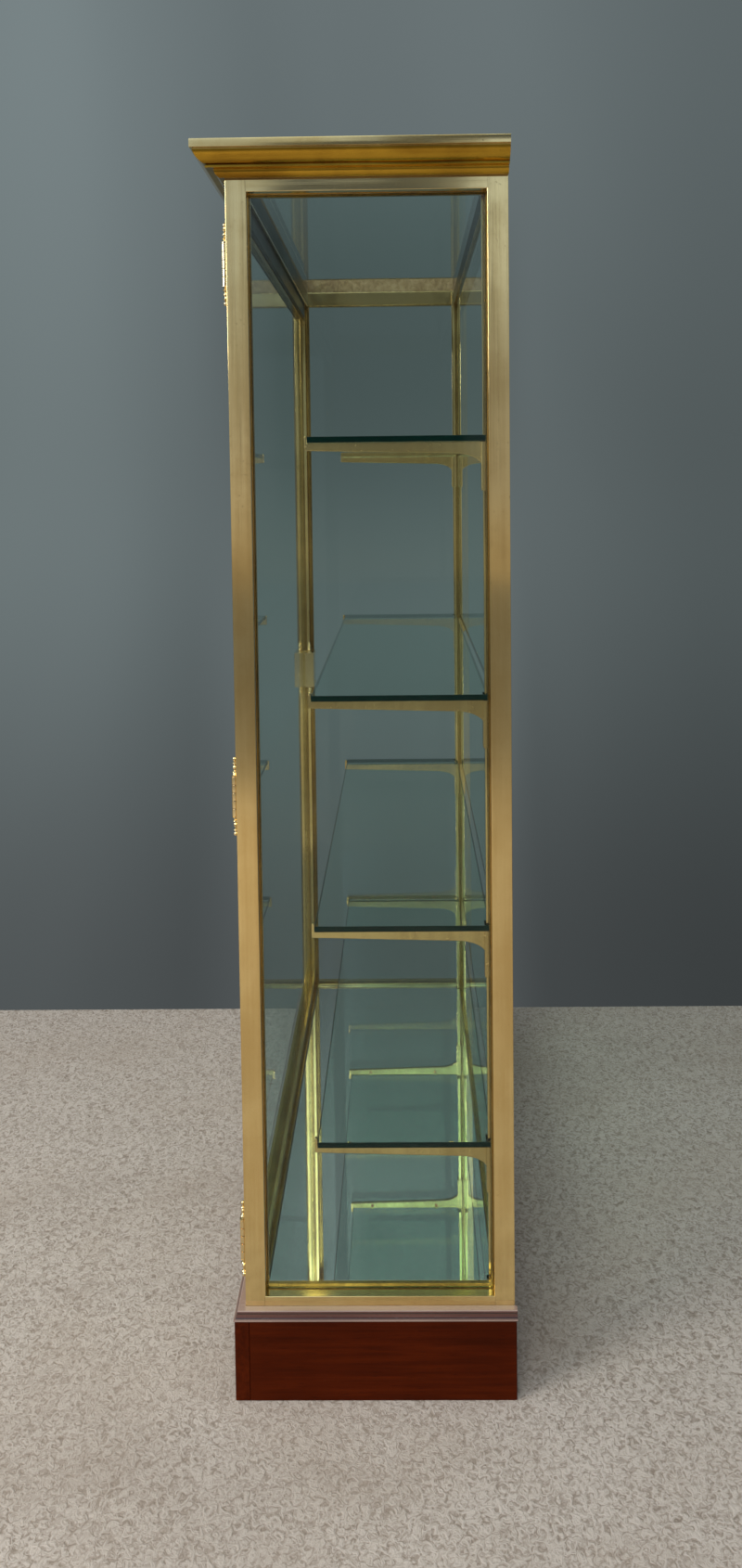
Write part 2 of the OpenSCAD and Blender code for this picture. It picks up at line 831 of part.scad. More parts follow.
module door_beads() {
    y = y_front + door_pane_in;
    color("goldenrod") difference() {
        union() {
            ring_facing_y(door_x0 + stile_w, door_x1 - stile_w, door_z0 + stile_w, door_z1 - stile_w,
                bead_w, y, y + door_bead_d);
            ring_facing_y(door_x0 + stile_w, door_x1 - stile_w, door_z0 + stile_w, door_z1 - stile_w,
                stop_w, y - pane_t - stop_d, y - pane_t);
        }
        lock_space(bolt_fit);
    }
}

// ---- lock ----
cover_screws = [
    for (x = [door_x0 + boss_in, door_x0 + lock_w - boss_in],
         z = [lock_z - lock_h / 2 + boss_in, lock_z + lock_h / 2 - boss_in]) [x, z]
];
module lock_case() {
    y0 = y_front + lock_in;
    y1 = y_front + lock_back;
    color("darkkhaki") difference() {
        union() {
            difference() {
                lock_space(0);
                block([door_x0 + lock_wall, y0 + lock_wall, lock_z - lock_h / 2 + lock_wall],
                      [door_x0 + lock_w - lock_wall, y1 + eps, lock_z + lock_h / 2 - lock_wall]);
            }
            for (p = cover_screws)
                rod_y([p[0], y0 + lock_wall, p[1]], boss_r, lock_back - lock_in - lock_wall);
            for (m = [0, 1])
                translate([door_x0 + stile_w + 8, y_front + lock_in + 9, lock_z])
                    mirror([0, 0, m]) translate([0, 0, lock_h / 2]) finial(0.8);
        }
        bolt_slot(door_x0 - eps, door_x0 + lock_wall + eps, bolt_fit);
        keyhole(y0 - eps, y0 + lock_wall + eps);
        for (p = cover_screws)
            rod_y([p[0], y1 - shank_l, p[1]], hole_r, shank_l + eps);
    }
}
module lock_cover() {
    y1 = y_front + lock_back;
    color("darkkhaki") difference() {
        block([door_x0, y1, lock_z - lock_h / 2], [door_x0 + lock_w, y1 + cover_t, lock_z + lock_h / 2]);
        for (p = cover_screws)
            rod_y([p[0], y1 - eps, p[1]], hole_r, cover_t + 2 * eps);
    }
}
module lock_escutcheon() {
    color("gold") difference() {
        rod_y([key_x, y_front - 1.5, key_z - 2], 11, 1.5);
        keyhole(y_front - 2 - eps, y_front + eps);
    }
}
module lock_bolt() {
    x0 = door_x0 + bolt_fit;
    color("silver") difference() {
        bolt_slot(x0, x0 + bolt_l, 0);
        translate([key_x + 5, bolt_y - eps, lock_z - bolt_h / 2])
            rotate([-90, 0, 0]) cylinder(r = 3, h = bolt_w + 2 * eps);
    }
}
// Key with a ring bow that lies flat, and its bit to the left
module lock_key() {
    color("darkgray") {
        rod_y([key_x, y_front - 9, key_z], key_r, 9 + lock_back - 2);
        rod_y([key_x, y_front - 4, key_z], key_r + 1.2, 1.5);
        translate([key_x, y_front - 15, key_z - 1.5])
            linear_extrude(3) difference() {
                bow(7);
                bow(4);
            }
        block([key_x - bit_reach, bolt_y + 0.5, key_z - bit_t / 2], [key_x, bolt_y + 7, key_z + bit_t / 2]);
    }
}
module bow(r) {
    for (s = [-3.5, 3.5])
        translate([s, 0]) circle(r);
    translate([-3.5, -r]) square([7, 2 * r]);
}
module lock_keeper() {
    color("gold") difference() {
        keeper_plate(-open_x - keeper_t, -open_x);
        bolt_slot(-open_x - 2 * keeper_t, -open_x + eps, bolt_fit);
        for (s = keeper_screws) {
            rod_x([-open_x - 2 * keeper_t, screw_y + 3, lock_z + s], hole_r, 3 * keeper_t);
            rod_x([-open_x - head_h, screw_y + 3, lock_z + s], head_r + screw_fit, head_h + eps);
        }
    }
}

// ---- shelves ----
module shelf_glass(n) {
    x = open_x - shelf_gap;
    color("mediumaquamarine", 0.5) difference() {
        block([-x, y_front + shelf_in, shelf_z[n]], [x, open_y1 - shelf_gap, shelf_z[n] + shelf_t]);
        bar_notches(shelf_z[n], shelf_t);
    }
}
// Side of an arm: x from the tip to the collar, y from the top of the arm
module arm_side() {
    l = collar_y0 - arm_tip;
    r = (root_l * root_l + root_h * root_h) / (2 * root_h);
    square_top = shelf_t + lip_up;
    difference() {
        union() {
            polygon([[0, 0], [0, -arm_tip_h], [l - root_l, -arm_root_h],
                     [l + collar_wall / 2, -arm_root_h], [l + collar_wall / 2, 0]]);
            translate([l - root_l, -arm_root_h - root_h])
                square([root_l + collar_wall / 2, root_h + eps]);
            square([lip_t, square_top - lip_t / 2]);
            translate([lip_t / 2, square_top - lip_t / 2]) circle(lip_t / 2);
        }
        translate([l - root_l, root_bite - arm_root_h - r]) circle(r, $fn = 96);
    }
}
// Bracket for the right upright, its arm's top at z = 0
module bracket() {
    l = collar_y0 - arm_tip;
    difference() {
        union() {
            translate([-arm_t / 2, arm_tip, 0]) along_x(arm_t) arm_side();
            block([-collar_half, collar_y0, -collar_h], [collar_half, collar_y1, 0]);
            for (share = stud_places)
                rod_x([-arm_t / 2 - stud_l, arm_tip + share * l, -stud_r - stud_drop],
                      stud_r, stud_l + eps);
        }
        block([-bar_w / 2 - collar_fit, bar_y0 - collar_fit, -collar_h - eps],
              [bar_w / 2 + collar_fit, open_y1 + collar_fit, eps]);
    }
}
module shelf_brackets(n) {
    color("gold")
        for (m = [0, 1])
            mirror([m, 0, 0]) translate([bar_x, 0, shelf_z[n]]) bracket();
}

plinth_front();
plinth_back();
plinth_end_left();
plinth_end_right();
plinth_blocks();
plinth_moulding();
base_board();
floor_bed();
floor_mirror();
post_front_left();
post_front_right();
post_back_left();
post_back_right();
bottom_rail_front();
bottom_rail_back();
bottom_rail_left();
bottom_rail_right();
head_rail_front();
head_rail_back();
head_rail_left();
head_rail_right();
cornice_core();
cornice_front();
cornice_left();
cornice_right();
cornice_back();
top_glass();
back_glass();
end_glass_left();
end_glass_right();
back_beads();
end_beads_left();
end_beads_right();
door_rebate_strips();
shelf_uprights();
hinge_frame_leaves();
hinge_pins();
frame_screws();
lock_keeper();
door_stile_hinge();
door_stile_lock();
door_rail_top();
door_rail_bottom();
door_glass();
door_beads();
hinge_door_leaves();
door_screws();
lock_case();
lock_cover();
lock_escutcheon();
lock_bolt();
lock_key();
shelf_glass(0);  // shelf_glass_1
shelf_glass(1);  // shelf_glass_2
shelf_glass(2);  // shelf_glass_3
shelf_glass(3);  // shelf_glass_4
shelf_brackets(0);  // shelf_brackets_1
shelf_brackets(1);  // shelf_brackets_2
shelf_brackets(2);  // shelf_brackets_3
shelf_brackets(3);  // shelf_brackets_4
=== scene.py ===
import json
import math

import bmesh
import bpy
import numpy as np
from mathutils import Matrix, Vector


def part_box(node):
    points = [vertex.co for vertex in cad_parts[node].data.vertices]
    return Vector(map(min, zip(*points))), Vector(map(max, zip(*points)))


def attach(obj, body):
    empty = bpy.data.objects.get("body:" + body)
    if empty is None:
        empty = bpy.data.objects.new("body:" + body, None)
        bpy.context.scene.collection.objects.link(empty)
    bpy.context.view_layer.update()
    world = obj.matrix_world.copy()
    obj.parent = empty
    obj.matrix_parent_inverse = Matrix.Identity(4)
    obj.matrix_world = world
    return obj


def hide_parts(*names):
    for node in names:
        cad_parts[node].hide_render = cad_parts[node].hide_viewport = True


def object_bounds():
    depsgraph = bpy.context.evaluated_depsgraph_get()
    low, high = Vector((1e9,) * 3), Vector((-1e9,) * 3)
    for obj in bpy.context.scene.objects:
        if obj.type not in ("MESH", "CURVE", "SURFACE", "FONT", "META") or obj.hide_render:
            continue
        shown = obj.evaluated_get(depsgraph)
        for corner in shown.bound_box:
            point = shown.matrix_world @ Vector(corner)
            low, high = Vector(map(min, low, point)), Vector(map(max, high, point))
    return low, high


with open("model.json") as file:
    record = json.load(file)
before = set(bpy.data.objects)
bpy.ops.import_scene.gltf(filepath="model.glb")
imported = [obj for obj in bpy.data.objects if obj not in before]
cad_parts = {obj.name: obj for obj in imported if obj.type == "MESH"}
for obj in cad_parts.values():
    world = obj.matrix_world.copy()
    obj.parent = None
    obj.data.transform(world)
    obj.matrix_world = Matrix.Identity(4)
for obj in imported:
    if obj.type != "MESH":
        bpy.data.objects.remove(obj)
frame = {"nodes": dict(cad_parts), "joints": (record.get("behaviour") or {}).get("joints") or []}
cad_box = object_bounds()
low, high = cad_box


# ---- Camera ----
# Stands off the hinge end of the cabinet at eye height and looks down its length.
EYE_OUT, EYE_SIDE, EYE_HEIGHT = 1.5621, 0.0661, 1.3569
PITCH, YAW, ROLL = 0.0528, 0.0121, -0.0115
LENS, SHIFT_X, SHIFT_Y = 25.77, -0.0119, -0.1552


def camera_matrix(eye):
    """The camera looks along -X, turned by the yaw, tipped down by the pitch and rolled about the
    line it looks along."""
    ahead = Vector((-math.cos(PITCH) * math.cos(YAW), -math.cos(PITCH) * math.sin(YAW), -math.sin(PITCH)))
    side = ahead.cross(Vector((0, 0, 1))).normalized()
    over = side.cross(ahead)
    right = side * math.cos(ROLL) + over * math.sin(ROLL)
    up = over * math.cos(ROLL) - side * math.sin(ROLL)
    matrix = Matrix((right, up, -ahead)).transposed().to_4x4()
    matrix.translation = eye
    return matrix


lens = bpy.data.cameras.new("camera")
lens.sensor_width, lens.lens = 36.0, LENS
lens.shift_x, lens.shift_y = SHIFT_X, SHIFT_Y
camera = bpy.data.objects.new("camera", lens)
bpy.context.scene.collection.objects.link(camera)
eye = Vector((high.x + EYE_OUT, EYE_SIDE, EYE_HEIGHT))
camera.matrix_world = camera_matrix(eye)
bpy.context.scene.camera = camera
bpy.context.scene.view_settings.view_transform = "Standard"
bpy.context.scene.cycles.transparent_max_bounces = 32
bpy.context.scene.cycles.max_bounces = 16
bpy.context.scene.cycles.glossy_bounces = 8


# ---- Floor, backdrop colour and lamps ----
# A pale carpeted floor with a dark drape at the far end, a room that is cool and bright on the
# camera's side with one dark figure in it, and soft lamps overhead, at a window and in a doorway.
class Sock:
    """A socket of a material's tree; Python's operators on it add Math nodes."""

    def __init__(self, sheet, out):
        self.sheet, self.out = sheet, out

    def math(self, operation, *values):
        return self.sheet.node("Math", {"operation": operation}, dict(enumerate(values)))

    def __add__(self, other):
        return self.math("ADD", self, other)

    def __sub__(self, other):
        return self.math("SUBTRACT", self, other)

    def __rsub__(self, other):
        return self.math("SUBTRACT", other, self)

    def __mul__(self, other):
        return self.math("MULTIPLY", self, other)

    def __truediv__(self, other):
        return self.math("DIVIDE", self, other)

    def __rtruediv__(self, other):
        return self.math("DIVIDE", other, self)

    def __pow__(self, other):
        return self.math("POWER", self, other)

    __radd__, __rmul__ = __add__, __mul__


class Sheet:
    """A tree of shader nodes under work: node() adds one of any kind and returns one of its outputs."""

    def __init__(self, tree):
        self.tree = tree
        tree.nodes.clear()

    def node(self, kind, settings=None, values=None, out=0):
        node = self.tree.nodes.new("ShaderNode" + kind)
        for key, value in (settings or {}).items():
            if key == "stops":
                while len(node.color_ramp.elements) < len(value):
                    node.color_ramp.elements.new(1.0)
                for element, (place, colour) in zip(node.color_ramp.elements, value):
                    element.position, element.color = place, (*colour, 1.0)
            else:
                setattr(node, key, value)
        for key, value in (values or {}).items():
            if isinstance(value, Sock):
                self.tree.links.new(value.out, node.inputs[key])
            else:
                if isinstance(value, tuple) and len(value) == 3 and node.inputs[key].type == "RGBA":
                    value = (*value, 1.0)
                node.inputs[key].default_value = value
        return Sock(self, node.outputs[out] if node.outputs else None)

    def place(self):
        """The object's own coordinates, in metres."""
        return self.node("TexCoord", out="Object")

    def noise(self, where, scale, stretch=(1, 1, 1), detail=3.0, rough=0.5, warp=0.0):
        """Fractal noise from 0 to 1, scale bumps to the metre, stretched along each axis by 1 / stretch."""
        where = self.node("Mapping", {}, {"Vector": where, "Scale": tuple(scale * s for s in stretch)})
        return self.node("TexNoise", {}, {"Vector": where, "Scale": 1.0, "Detail": detail,
                                          "Roughness": rough, "Distortion": warp})

    def blend(self, factor, first, second, kind="MIX"):
        """A colour that goes from first to second with the factor."""
        return self.node("Mix", {"data_type": "RGBA", "blend_type": kind},
                         {0: factor, 6: first, 7: second}, out=2)

    def span(self, value, start, end, first=0.0, second=1.0):
        """Goes smoothly from first to second as the value goes from start to end."""
        return self.node("MapRange", {"interpolation_type": "SMOOTHSTEP"},
                         {"Value": value, 1: start, 2: end, 3: first, 4: second})

    def split(self, vector, axis):
        return self.node("SeparateXYZ", {}, {0: vector}, out=axis)

    def bump(self, height, strength, distance, under=None):
        values = {"Height": height, "Strength": strength, "Distance": distance}
        if under is not None:
            values["Normal"] = under
        return self.node("Bump", {}, values)

    def surface(self, **values):
        """A Principled surface with these sockets, as the material's output."""
        shader = self.node("BsdfPrincipled", {}, {k.replace("_", " "): v for k, v in values.items()})
        self.node("OutputMaterial", {}, {0: shader})


def new_material(name):
    material = bpy.data.materials.new(name)
    material.use_nodes = True
    return material, Sheet(material.node_tree)


# Colours of the drape's glow, which is painted light: lightest at the top and darkest at the foot.
DRAPE_TOP, DRAPE_MID, DRAPE_FOOT = (0.138, 0.168, 0.174), (0.110, 0.134, 0.137), (0.060, 0.068, 0.070)
ROOM_HIGH, ROOM_SIDE, ROOM_LOW = (0.66, 0.80, 1.02), (0.43, 0.43, 0.45), (0.36, 0.30, 0.22)
CARPET, CARPET_DARK, CARPET_WORN = (0.53, 0.46, 0.385), (0.255, 0.20, 0.15), (0.38, 0.30, 0.225)
ROOM_BACK, TUBE_LIGHT = (0.34, 0.35, 0.36), (2.6, 2.9, 2.8)
DRAPE_X = low.x - 0.115


def room_world():
    """What the brass and the glass reflect, by direction: a cool bright room with a dark figure and a
    dark lintel behind the camera, one band of tube lights above them, and a plain grey wall beyond
    the drape."""
    world = bpy.data.worlds.new("room")
    bpy.context.scene.world = world
    world.use_nodes = True
    sky = Sheet(world.node_tree)
    ray = sky.node("TexCoord", out="Generated")
    x, y, z = sky.split(ray, 0), sky.split(ray, 1), sky.split(ray, 2)
    corners = sky.noise(ray, 4.0, detail=2)
    camera_side = sky.span(x, 0.0, 0.3)
    room = sky.blend(sky.span(z, 0.0, 0.3), ROOM_SIDE, ROOM_HIGH)
    room = sky.blend(1.0, room, sky.span(y, -0.10, 0.20, 1.05, 0.80) * (corners * 1.7 + 0.15), "MULTIPLY")
    room = sky.blend(sky.span(z, -0.10, 0.02), ROOM_LOW, room)
    stander = sky.span(y, -0.125, -0.100) * sky.span(y, 0.062, 0.050) * sky.span(z, 0.272, 0.266)
    lintel = sky.span(z, 0.266, 0.272) * sky.span(y, -0.06, 0.0)
    dim = (stander + lintel) * sky.span(z, -0.10, 0.02) * camera_side
    room = sky.blend(1.0, room, 1.0 - dim * 0.85, "MULTIPLY")
    tubes = sky.span(z, 0.40, 0.55) * sky.span(z, 0.68, 0.63) * sky.span(y, -0.16, -0.12)
    room = sky.blend(tubes * sky.span(y, 0.14, 0.10) * camera_side, room, TUBE_LIGHT)
    room = sky.blend(sky.span(x, 0.1, -0.3), room, ROOM_BACK)
    sky.node("OutputWorld", {}, {0: sky.node("Background", {}, {0: room, 1: 1.0})})


def drape_material(eye):
    """A dark cloth that glows faintly by itself; its glow is painted light. Its colour is a function of the
    direction (P - eye) / |P - eye| from one fixed point, lighter above and to the left and darker at the
    foot, with a painted shadow of the case and painted shade in its folds. It is clear from behind."""
    material, sheet = new_material("drape")
    away = sheet.node("VectorMath", {"operation": "SUBTRACT"}, {0: sheet.place(), 1: tuple(eye)})
    way = sheet.node("VectorMath", {"operation": "NORMALIZE"}, {0: away})
    y, z = sheet.split(way, 1), sheet.split(way, 2)
    # Painted shade of the folds in the cloth.
    painted_fold_shade = sheet.noise(way, 2.2, (1, 1, 0.35), detail=3, warp=0.6)
    cloth = sheet.blend(sheet.span(z, -0.42, -0.02), DRAPE_FOOT, DRAPE_MID)
    cloth = sheet.blend(sheet.span(z, 0.0, 0.4), cloth, DRAPE_TOP)
    # Painted light: the glow is stronger to the left and weaker to the right.
    lit = sheet.span(y, -0.30, -0.10, 1.34, 0.98) * sheet.span(y, 0.06, 0.30, 1.0, 0.76)
    # Painted shadow of the case on the cloth behind it, darker above and lighter again towards the foot.
    painted_case_shadow = sheet.span(y, -0.19, -0.11) * sheet.span(y, 0.12, 0.06) * sheet.span(z, 0.285, 0.15)
    lit = lit * (painted_case_shadow * (sheet.span(z, 0.13, -0.26, 0.78, 1.45) - 1.0) + 1.0)
    cloth = sheet.blend(1.0, cloth, lit * (painted_fold_shade * 0.5 + 0.75), "MULTIPLY")
    glow = sheet.node("BsdfPrincipled", {}, {"Base Color": (0.0, 0.0, 0.0), "Specular IOR Level": 0.0,
                                             "Emission Color": cloth, "Emission Strength": 1.0})
    clear = sheet.node("BsdfTransparent")
    behind = sheet.node("NewGeometry", out="Backfacing")
    sheet.node("OutputMaterial", {}, {0: sheet.node("MixShader", {}, {0: behind, 1: glow, 2: clear})})
    material.cycles.emission_sampling = "NONE"
    return material


def floor_material():
    """Short pile, with two sizes of noise for colour and bump."""
    material, sheet = new_material("carpet")
    spot = sheet.place()
    tuft = sheet.noise(spot, 105, detail=4, rough=0.62, warp=1.4)
    sweep = sheet.noise(spot, 2.6, detail=4, rough=0.62)
    stain = sheet.span(sheet.noise(spot, 1.3, (1.6, 0.7, 1), detail=5, rough=0.65), 0.50, 0.72)
    # The pile is darkest where its bump is lowest: painted shade between the tufts.
    pile = sheet.blend(sheet.span(tuft, 0.30, 0.60), CARPET_DARK, CARPET)
    pile = sheet.blend(sheet.span(sweep, 0.40, 0.68) * 0.35, pile, CARPET_WORN)
    pile = sheet.blend(stain * 0.3, pile, CARPET_DARK)
    sheet.surface(Base_Color=pile, Roughness=0.95, Normal=sheet.bump(tuft, 0.55, 0.006))
    return material


def staged(name, corners, material):
    """One flat face of the surroundings."""
    mesh = bpy.data.meshes.new(name)
    mesh.from_pydata(corners, [], [(0, 1, 2, 3)])
    mesh.materials.append(material)
    flat = bpy.data.objects.new(name, mesh)
    bpy.context.scene.collection.objects.link(flat)


FLOOR_REACH, DRAPE_WIDE, DRAPE_TALL = 14.0, 9.0, 5.0
floor_corners = [(x * FLOOR_REACH, y * FLOOR_REACH, 0.0) for x, y in ((-1, -1), (1, -1), (1, 1), (-1, 1))]
drape_corners = [(DRAPE_X, y * DRAPE_WIDE, z * DRAPE_TALL) for y, z in ((-1, 0), (1, 0), (1, 1), (-1, 1))]
room_world()
staged("floor", floor_corners, floor_material())
staged("drape", drape_corners, drape_material(eye))

LAMPS = {  # name: place, aim, width, height, watts, colour
    "ceiling": ((0.8, -0.4, 3.6), (0.3, 0.0, 0.0), 3.0, 2.2, 46, (1.0, 0.98, 0.93)),
    "window": ((2.2, -2.9, 2.6), (0.2, 0.0, 0.5), 1.3, 1.6, 92, (1.0, 0.98, 0.95)),
    "doorway": ((3.6, -0.7, 1.5), (0.5, 0.0, 0.2), 1.6, 1.2, 26, (1.0, 0.97, 0.92)),
}
for name, (place, aim, wide, tall, watts, colour) in LAMPS.items():
    light = bpy.data.lights.new(name, "AREA")
    light.shape, light.size, light.size_y = "RECTANGLE", wide, tall
    light.energy, light.color = watts, colour
    lamp = bpy.data.objects.new(name, light)
    lamp.location = place
    lamp.rotation_euler = (Vector(aim) - Vector(place)).to_track_quat("-Z", "Y").to_euler()
    lamp.visible_camera = False
    lamp.visible_glossy = name == "window"
    bpy.context.scene.collection.objects.link(lamp)


# ---- Plinth ----
# Four mahogany boards, French polished, glued round softwood blocks, with their arrises eased.
# They carry the board that the brass frame stands on.
def rings_of_box(a, b, radius, steps=3):
    """A ball of this radius swept to the eight corners of a box: its grid of longitudes and
    latitudes is cut at each corner and moved out by half the box's size less the radius."""
    a, b = np.array(a, float), np.array(b, float)
    radius = min(radius, *((b - a) / 2 * 0.98))
    turn = np.linspace(0, math.pi / 2, steps + 1)
    around = np.concatenate([turn + q * math.pi / 2 for q in range(4)])
    corner = np.repeat([[1, 1], [-1, 1], [-1, -1], [1, -1]], steps + 1, axis=0)
    up = np.concatenate([turn - math.pi / 2, turn])
    level = np.repeat([-1, 1], steps + 1)
    half = (b - a) / 2 - radius
    ring = np.stack([corner[:, 0] * half[0] + radius * np.cos(up)[:, None] * np.cos(around),
                     corner[:, 1] * half[1] + radius * np.cos(up)[:, None] * np.sin(around),
                     level[:, None] * half[2] + radius * np.sin(up)[:, None] + 0 * around], axis=-1)
    return ring + (a + b) / 2


def piece(name, stacks, materials, body, nodes, sharp=40.0, choose=None):
    """Makes one object from stacks of rings. Each stack is a closed skin: quads between neighbouring
    rings and a flat face on the first and the last ring, unless the two are one and the stack is a
    loop. Points that fall together are merged."""
    whole = bmesh.new()
    for rings in stacks:
        rows, cols = rings.shape[:2]
        r, c = np.meshgrid(np.arange(rows - 1), np.arange(cols), indexing="ij")
        n = (c + 1) % cols
        quads = np.stack([r * cols + c, r * cols + n, (r + 1) * cols + n, (r + 1) * cols + c], -1)
        ends = [list(range(cols)), list(range((rows - 1) * cols, rows * cols))]
        if np.allclose(rings[0], rings[-1]):
            ends = []
        skin = bpy.data.meshes.new("skin")
        skin.from_pydata(rings.reshape(-1, 3).tolist(), [], quads.reshape(-1, 4).tolist() + ends)
        part = bmesh.new()
        part.from_mesh(skin)
        bmesh.ops.remove_doubles(part, verts=part.verts, dist=2e-6)
        bmesh.ops.recalc_face_normals(part, faces=part.faces)
        part.to_mesh(skin)
        part.free()
        whole.from_mesh(skin)
        bpy.data.meshes.remove(skin)
    mesh = bpy.data.meshes.new(name)
    whole.to_mesh(mesh)
    whole.free()
    for material in materials:
        mesh.materials.append(material)
    if choose:
        normals = np.zeros(len(mesh.polygons) * 3, np.float32)
        mesh.polygons.foreach_get("normal", normals)
        mesh.polygons.foreach_set("material_index", choose(normals.reshape(-1, 3)).astype(np.int32))
    mesh.polygons.foreach_set("use_smooth", np.ones(len(mesh.polygons), bool))
    mesh.set_sharp_from_angle(angle=math.radians(sharp))
    made = bpy.data.objects.new(name, mesh)
    even = made.modifiers.new("flat faces shade flat", "WEIGHTED_NORMAL")
    even.keep_sharp, even.weight = True, 100
    bpy.context.scene.collection.objects.link(made)
    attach(made, body)
    if nodes:
        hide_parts(*nodes)
    return made


MAHOGANY = (0.020, 0.0026, 0.0003), (0.056, 0.0066, 0.0006), (0.104, 0.0135, 0.0014)
PLUM = (0.040, 0.010, 0.0065), (0.086, 0.028, 0.019), (0.140, 0.056, 0.040)


def mahogany(name, along, tones=MAHOGANY, gloss=0.34, shine=0.05, wear_and_painted_lines=()):
    """Ribbon grain drawn out along the board, with short pores, faint figure across it and a
    polished coat that shows a little uneven wear. The last argument holds (height, half width, colour) of
    lines
    along the board: painted highlights along rounded arrises and painted shade in quirks."""
    material, sheet = new_material(name)
    spot = sheet.place()
    drawn = [1.0, 1.0, 1.0]
    drawn[along] = 0.045
    grain = sheet.noise(spot, 150, drawn, detail=6, rough=0.62, warp=0.25)
    ribbon = sheet.noise(spot, 26, [d * 0.8 for d in drawn], detail=3, rough=0.5, warp=0.6)
    pores = sheet.noise(spot, 620, [1.0 if d == 1 else 0.07 for d in drawn], detail=2)
    pores = sheet.span(pores, 0.60, 0.74)
    figure = sheet.noise(spot, 7, detail=2)
    colour = sheet.node("ValToRGB", {"stops": tuple(zip((0.30, 0.50, 0.72), tones))},
                        {0: grain * 0.42 + ribbon * 0.36 + figure * 0.22})
    colour = sheet.blend(pores * 0.55, colour, tones[0])
    height = sheet.split(spot, 2)
    # Each line is painted light: a painted highlight on a rounded arris or painted shade in a quirk.
    for level, half, tone in wear_and_painted_lines:
        line = sheet.span(height, level - half, level) * sheet.span(height, level + half, level)
        colour = sheet.blend(line * (figure * 0.8 + 0.5), colour, tone)
    rough = gloss + figure * 0.16 + pores * 0.10
    sheet.surface(Base_Color=colour, Roughness=rough, Specular_IOR_Level=shine, Coat_Weight=shine * 0.3,
                  Coat_Roughness=0.16, Normal=sheet.bump(pores * -1.0 + grain * 0.4, 0.18, 0.0006))
    return material


PLINTH_EASE = 0.0016
wood_x, wood_y = mahogany("mahogany along the front", 0), mahogany("mahogany along the ends", 1)
for node in ("plinth_front", "plinth_back", "plinth_end_left", "plinth_end_right"):
    wood = wood_y if "end" in node else wood_x
    piece(node.replace("plinth", "plinth_board"), [rings_of_box(*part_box(node), PLINTH_EASE)], [wood],
          "case", [node])


# ---- Plinth moulding ----
# One run of dark mahogany moulding, mitred at the front corners: a square fillet, a small step, and
# a face that leans in to meet the brass.
def rings_along_case(profile, back):
    """Carries a profile of (out, height) points round the left end, front and right end of a box
    whose walls stand at out = 0, mitred at both front corners; the ends stop at the back plane."""
    profile = np.array(profile)
    out, z = profile[:, 0], profile[:, 1]
    (x0, y0), (x1, _) = case_plan
    stations = [np.stack([x0 - out, 0 * out + back, z], -1), np.stack([x0 - out, y0 - out, z], -1),
                np.stack([x1 + out, y0 - out, z], -1), np.stack([x1 + out, 0 * out + back, z], -1)]
    return np.stack(stations)


post_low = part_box("post_front_left")[0]
post_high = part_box("post_back_right")[1]
case_plan = ((post_low.x, post_low.y), (post_high.x, post_high.y))
mould_low, mould_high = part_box("plinth_moulding")


def arc(start, end, bulge, steps, hollow=False):
    """Points of a circular arc from start to end with this radius, full on its outer side."""
    start, end = np.array(start, float), np.array(end, float)
    chord = end - start
    length = np.hypot(*chord)
    half = math.asin(min(1.0, length / 2 / bulge))
    t = np.linspace(-half, half, steps + 1)
    rise = bulge * (np.cos(t) - math.cos(half)) * (-1 if hollow else 1)
    run = bulge * np.sin(t) + length / 2
    unit = chord / length
    normal = np.array([-unit[1], unit[0]])
    if normal[0] < 0:
        normal = -normal
    return start + run[:, None] * unit + rise[:, None] * normal


FILLET, MOULD_EASE, MOULD_BACK = 0.0022, 0.0004, 0.0003


def moulding_profile():
    """From the inside bottom round the fillet, the step, a shallow hollow and a rounded top edge."""
    foot, top = mould_low.z, mould_high.z
    lip = case_plan[0][0] - mould_low.x
    step = foot + FILLET
    brow = (lip - 0.0050, top - 0.0022)
    body = [(MOULD_BACK, foot), (lip - MOULD_EASE, foot), (lip, foot + MOULD_EASE), (lip, step - MOULD_EASE),
            (lip - MOULD_EASE, step), (lip - 0.003, step + 0.0002)]
    hollow = arc((lip - 0.0032, step + 0.0006), brow, 0.013, 6, True)
    crown = arc(brow, (lip - 0.0072, top), 0.0023, 4)
    return body + [tuple(p) for p in hollow] + [tuple(p) for p in crown[1:]] + [(MOULD_BACK, top)]


# The light lines are painted highlights along the moulding's rounded arrises; the dark lines are painted
# shade in its quirks.
PAINTED_EDGE_HIGHLIGHT, PAINTED_QUIRK_SHADE = (0.36, 0.25, 0.19), (0.010, 0.003, 0.002)
moulding_painted_lines = ((mould_high.z - 0.0003, 0.0011, PAINTED_EDGE_HIGHLIGHT), (mould_low.z + 0.0032, 0.0014, PAINTED_QUIRK_SHADE),
                 (mould_low.z + 0.0017, 0.0012, PAINTED_EDGE_HIGHLIGHT), (mould_high.z - 0.0036, 0.0014, PAINTED_QUIRK_SHADE))
moulding_woods = [mahogany("mahogany moulding of the ends", 1, PLUM, 0.16, 0.8, moulding_painted_lines),
                  mahogany("mahogany moulding of the front", 0, PLUM, 0.16, 0.8, moulding_painted_lines)]
piece("plinth_moulding_run", [rings_along_case(moulding_profile(), mould_high.y)], moulding_woods, "case",
      ["plinth_moulding"], sharp=28, choose=lambda n: np.abs(n[:, 1]) > np.abs(n[:, 0]) + 0.05)


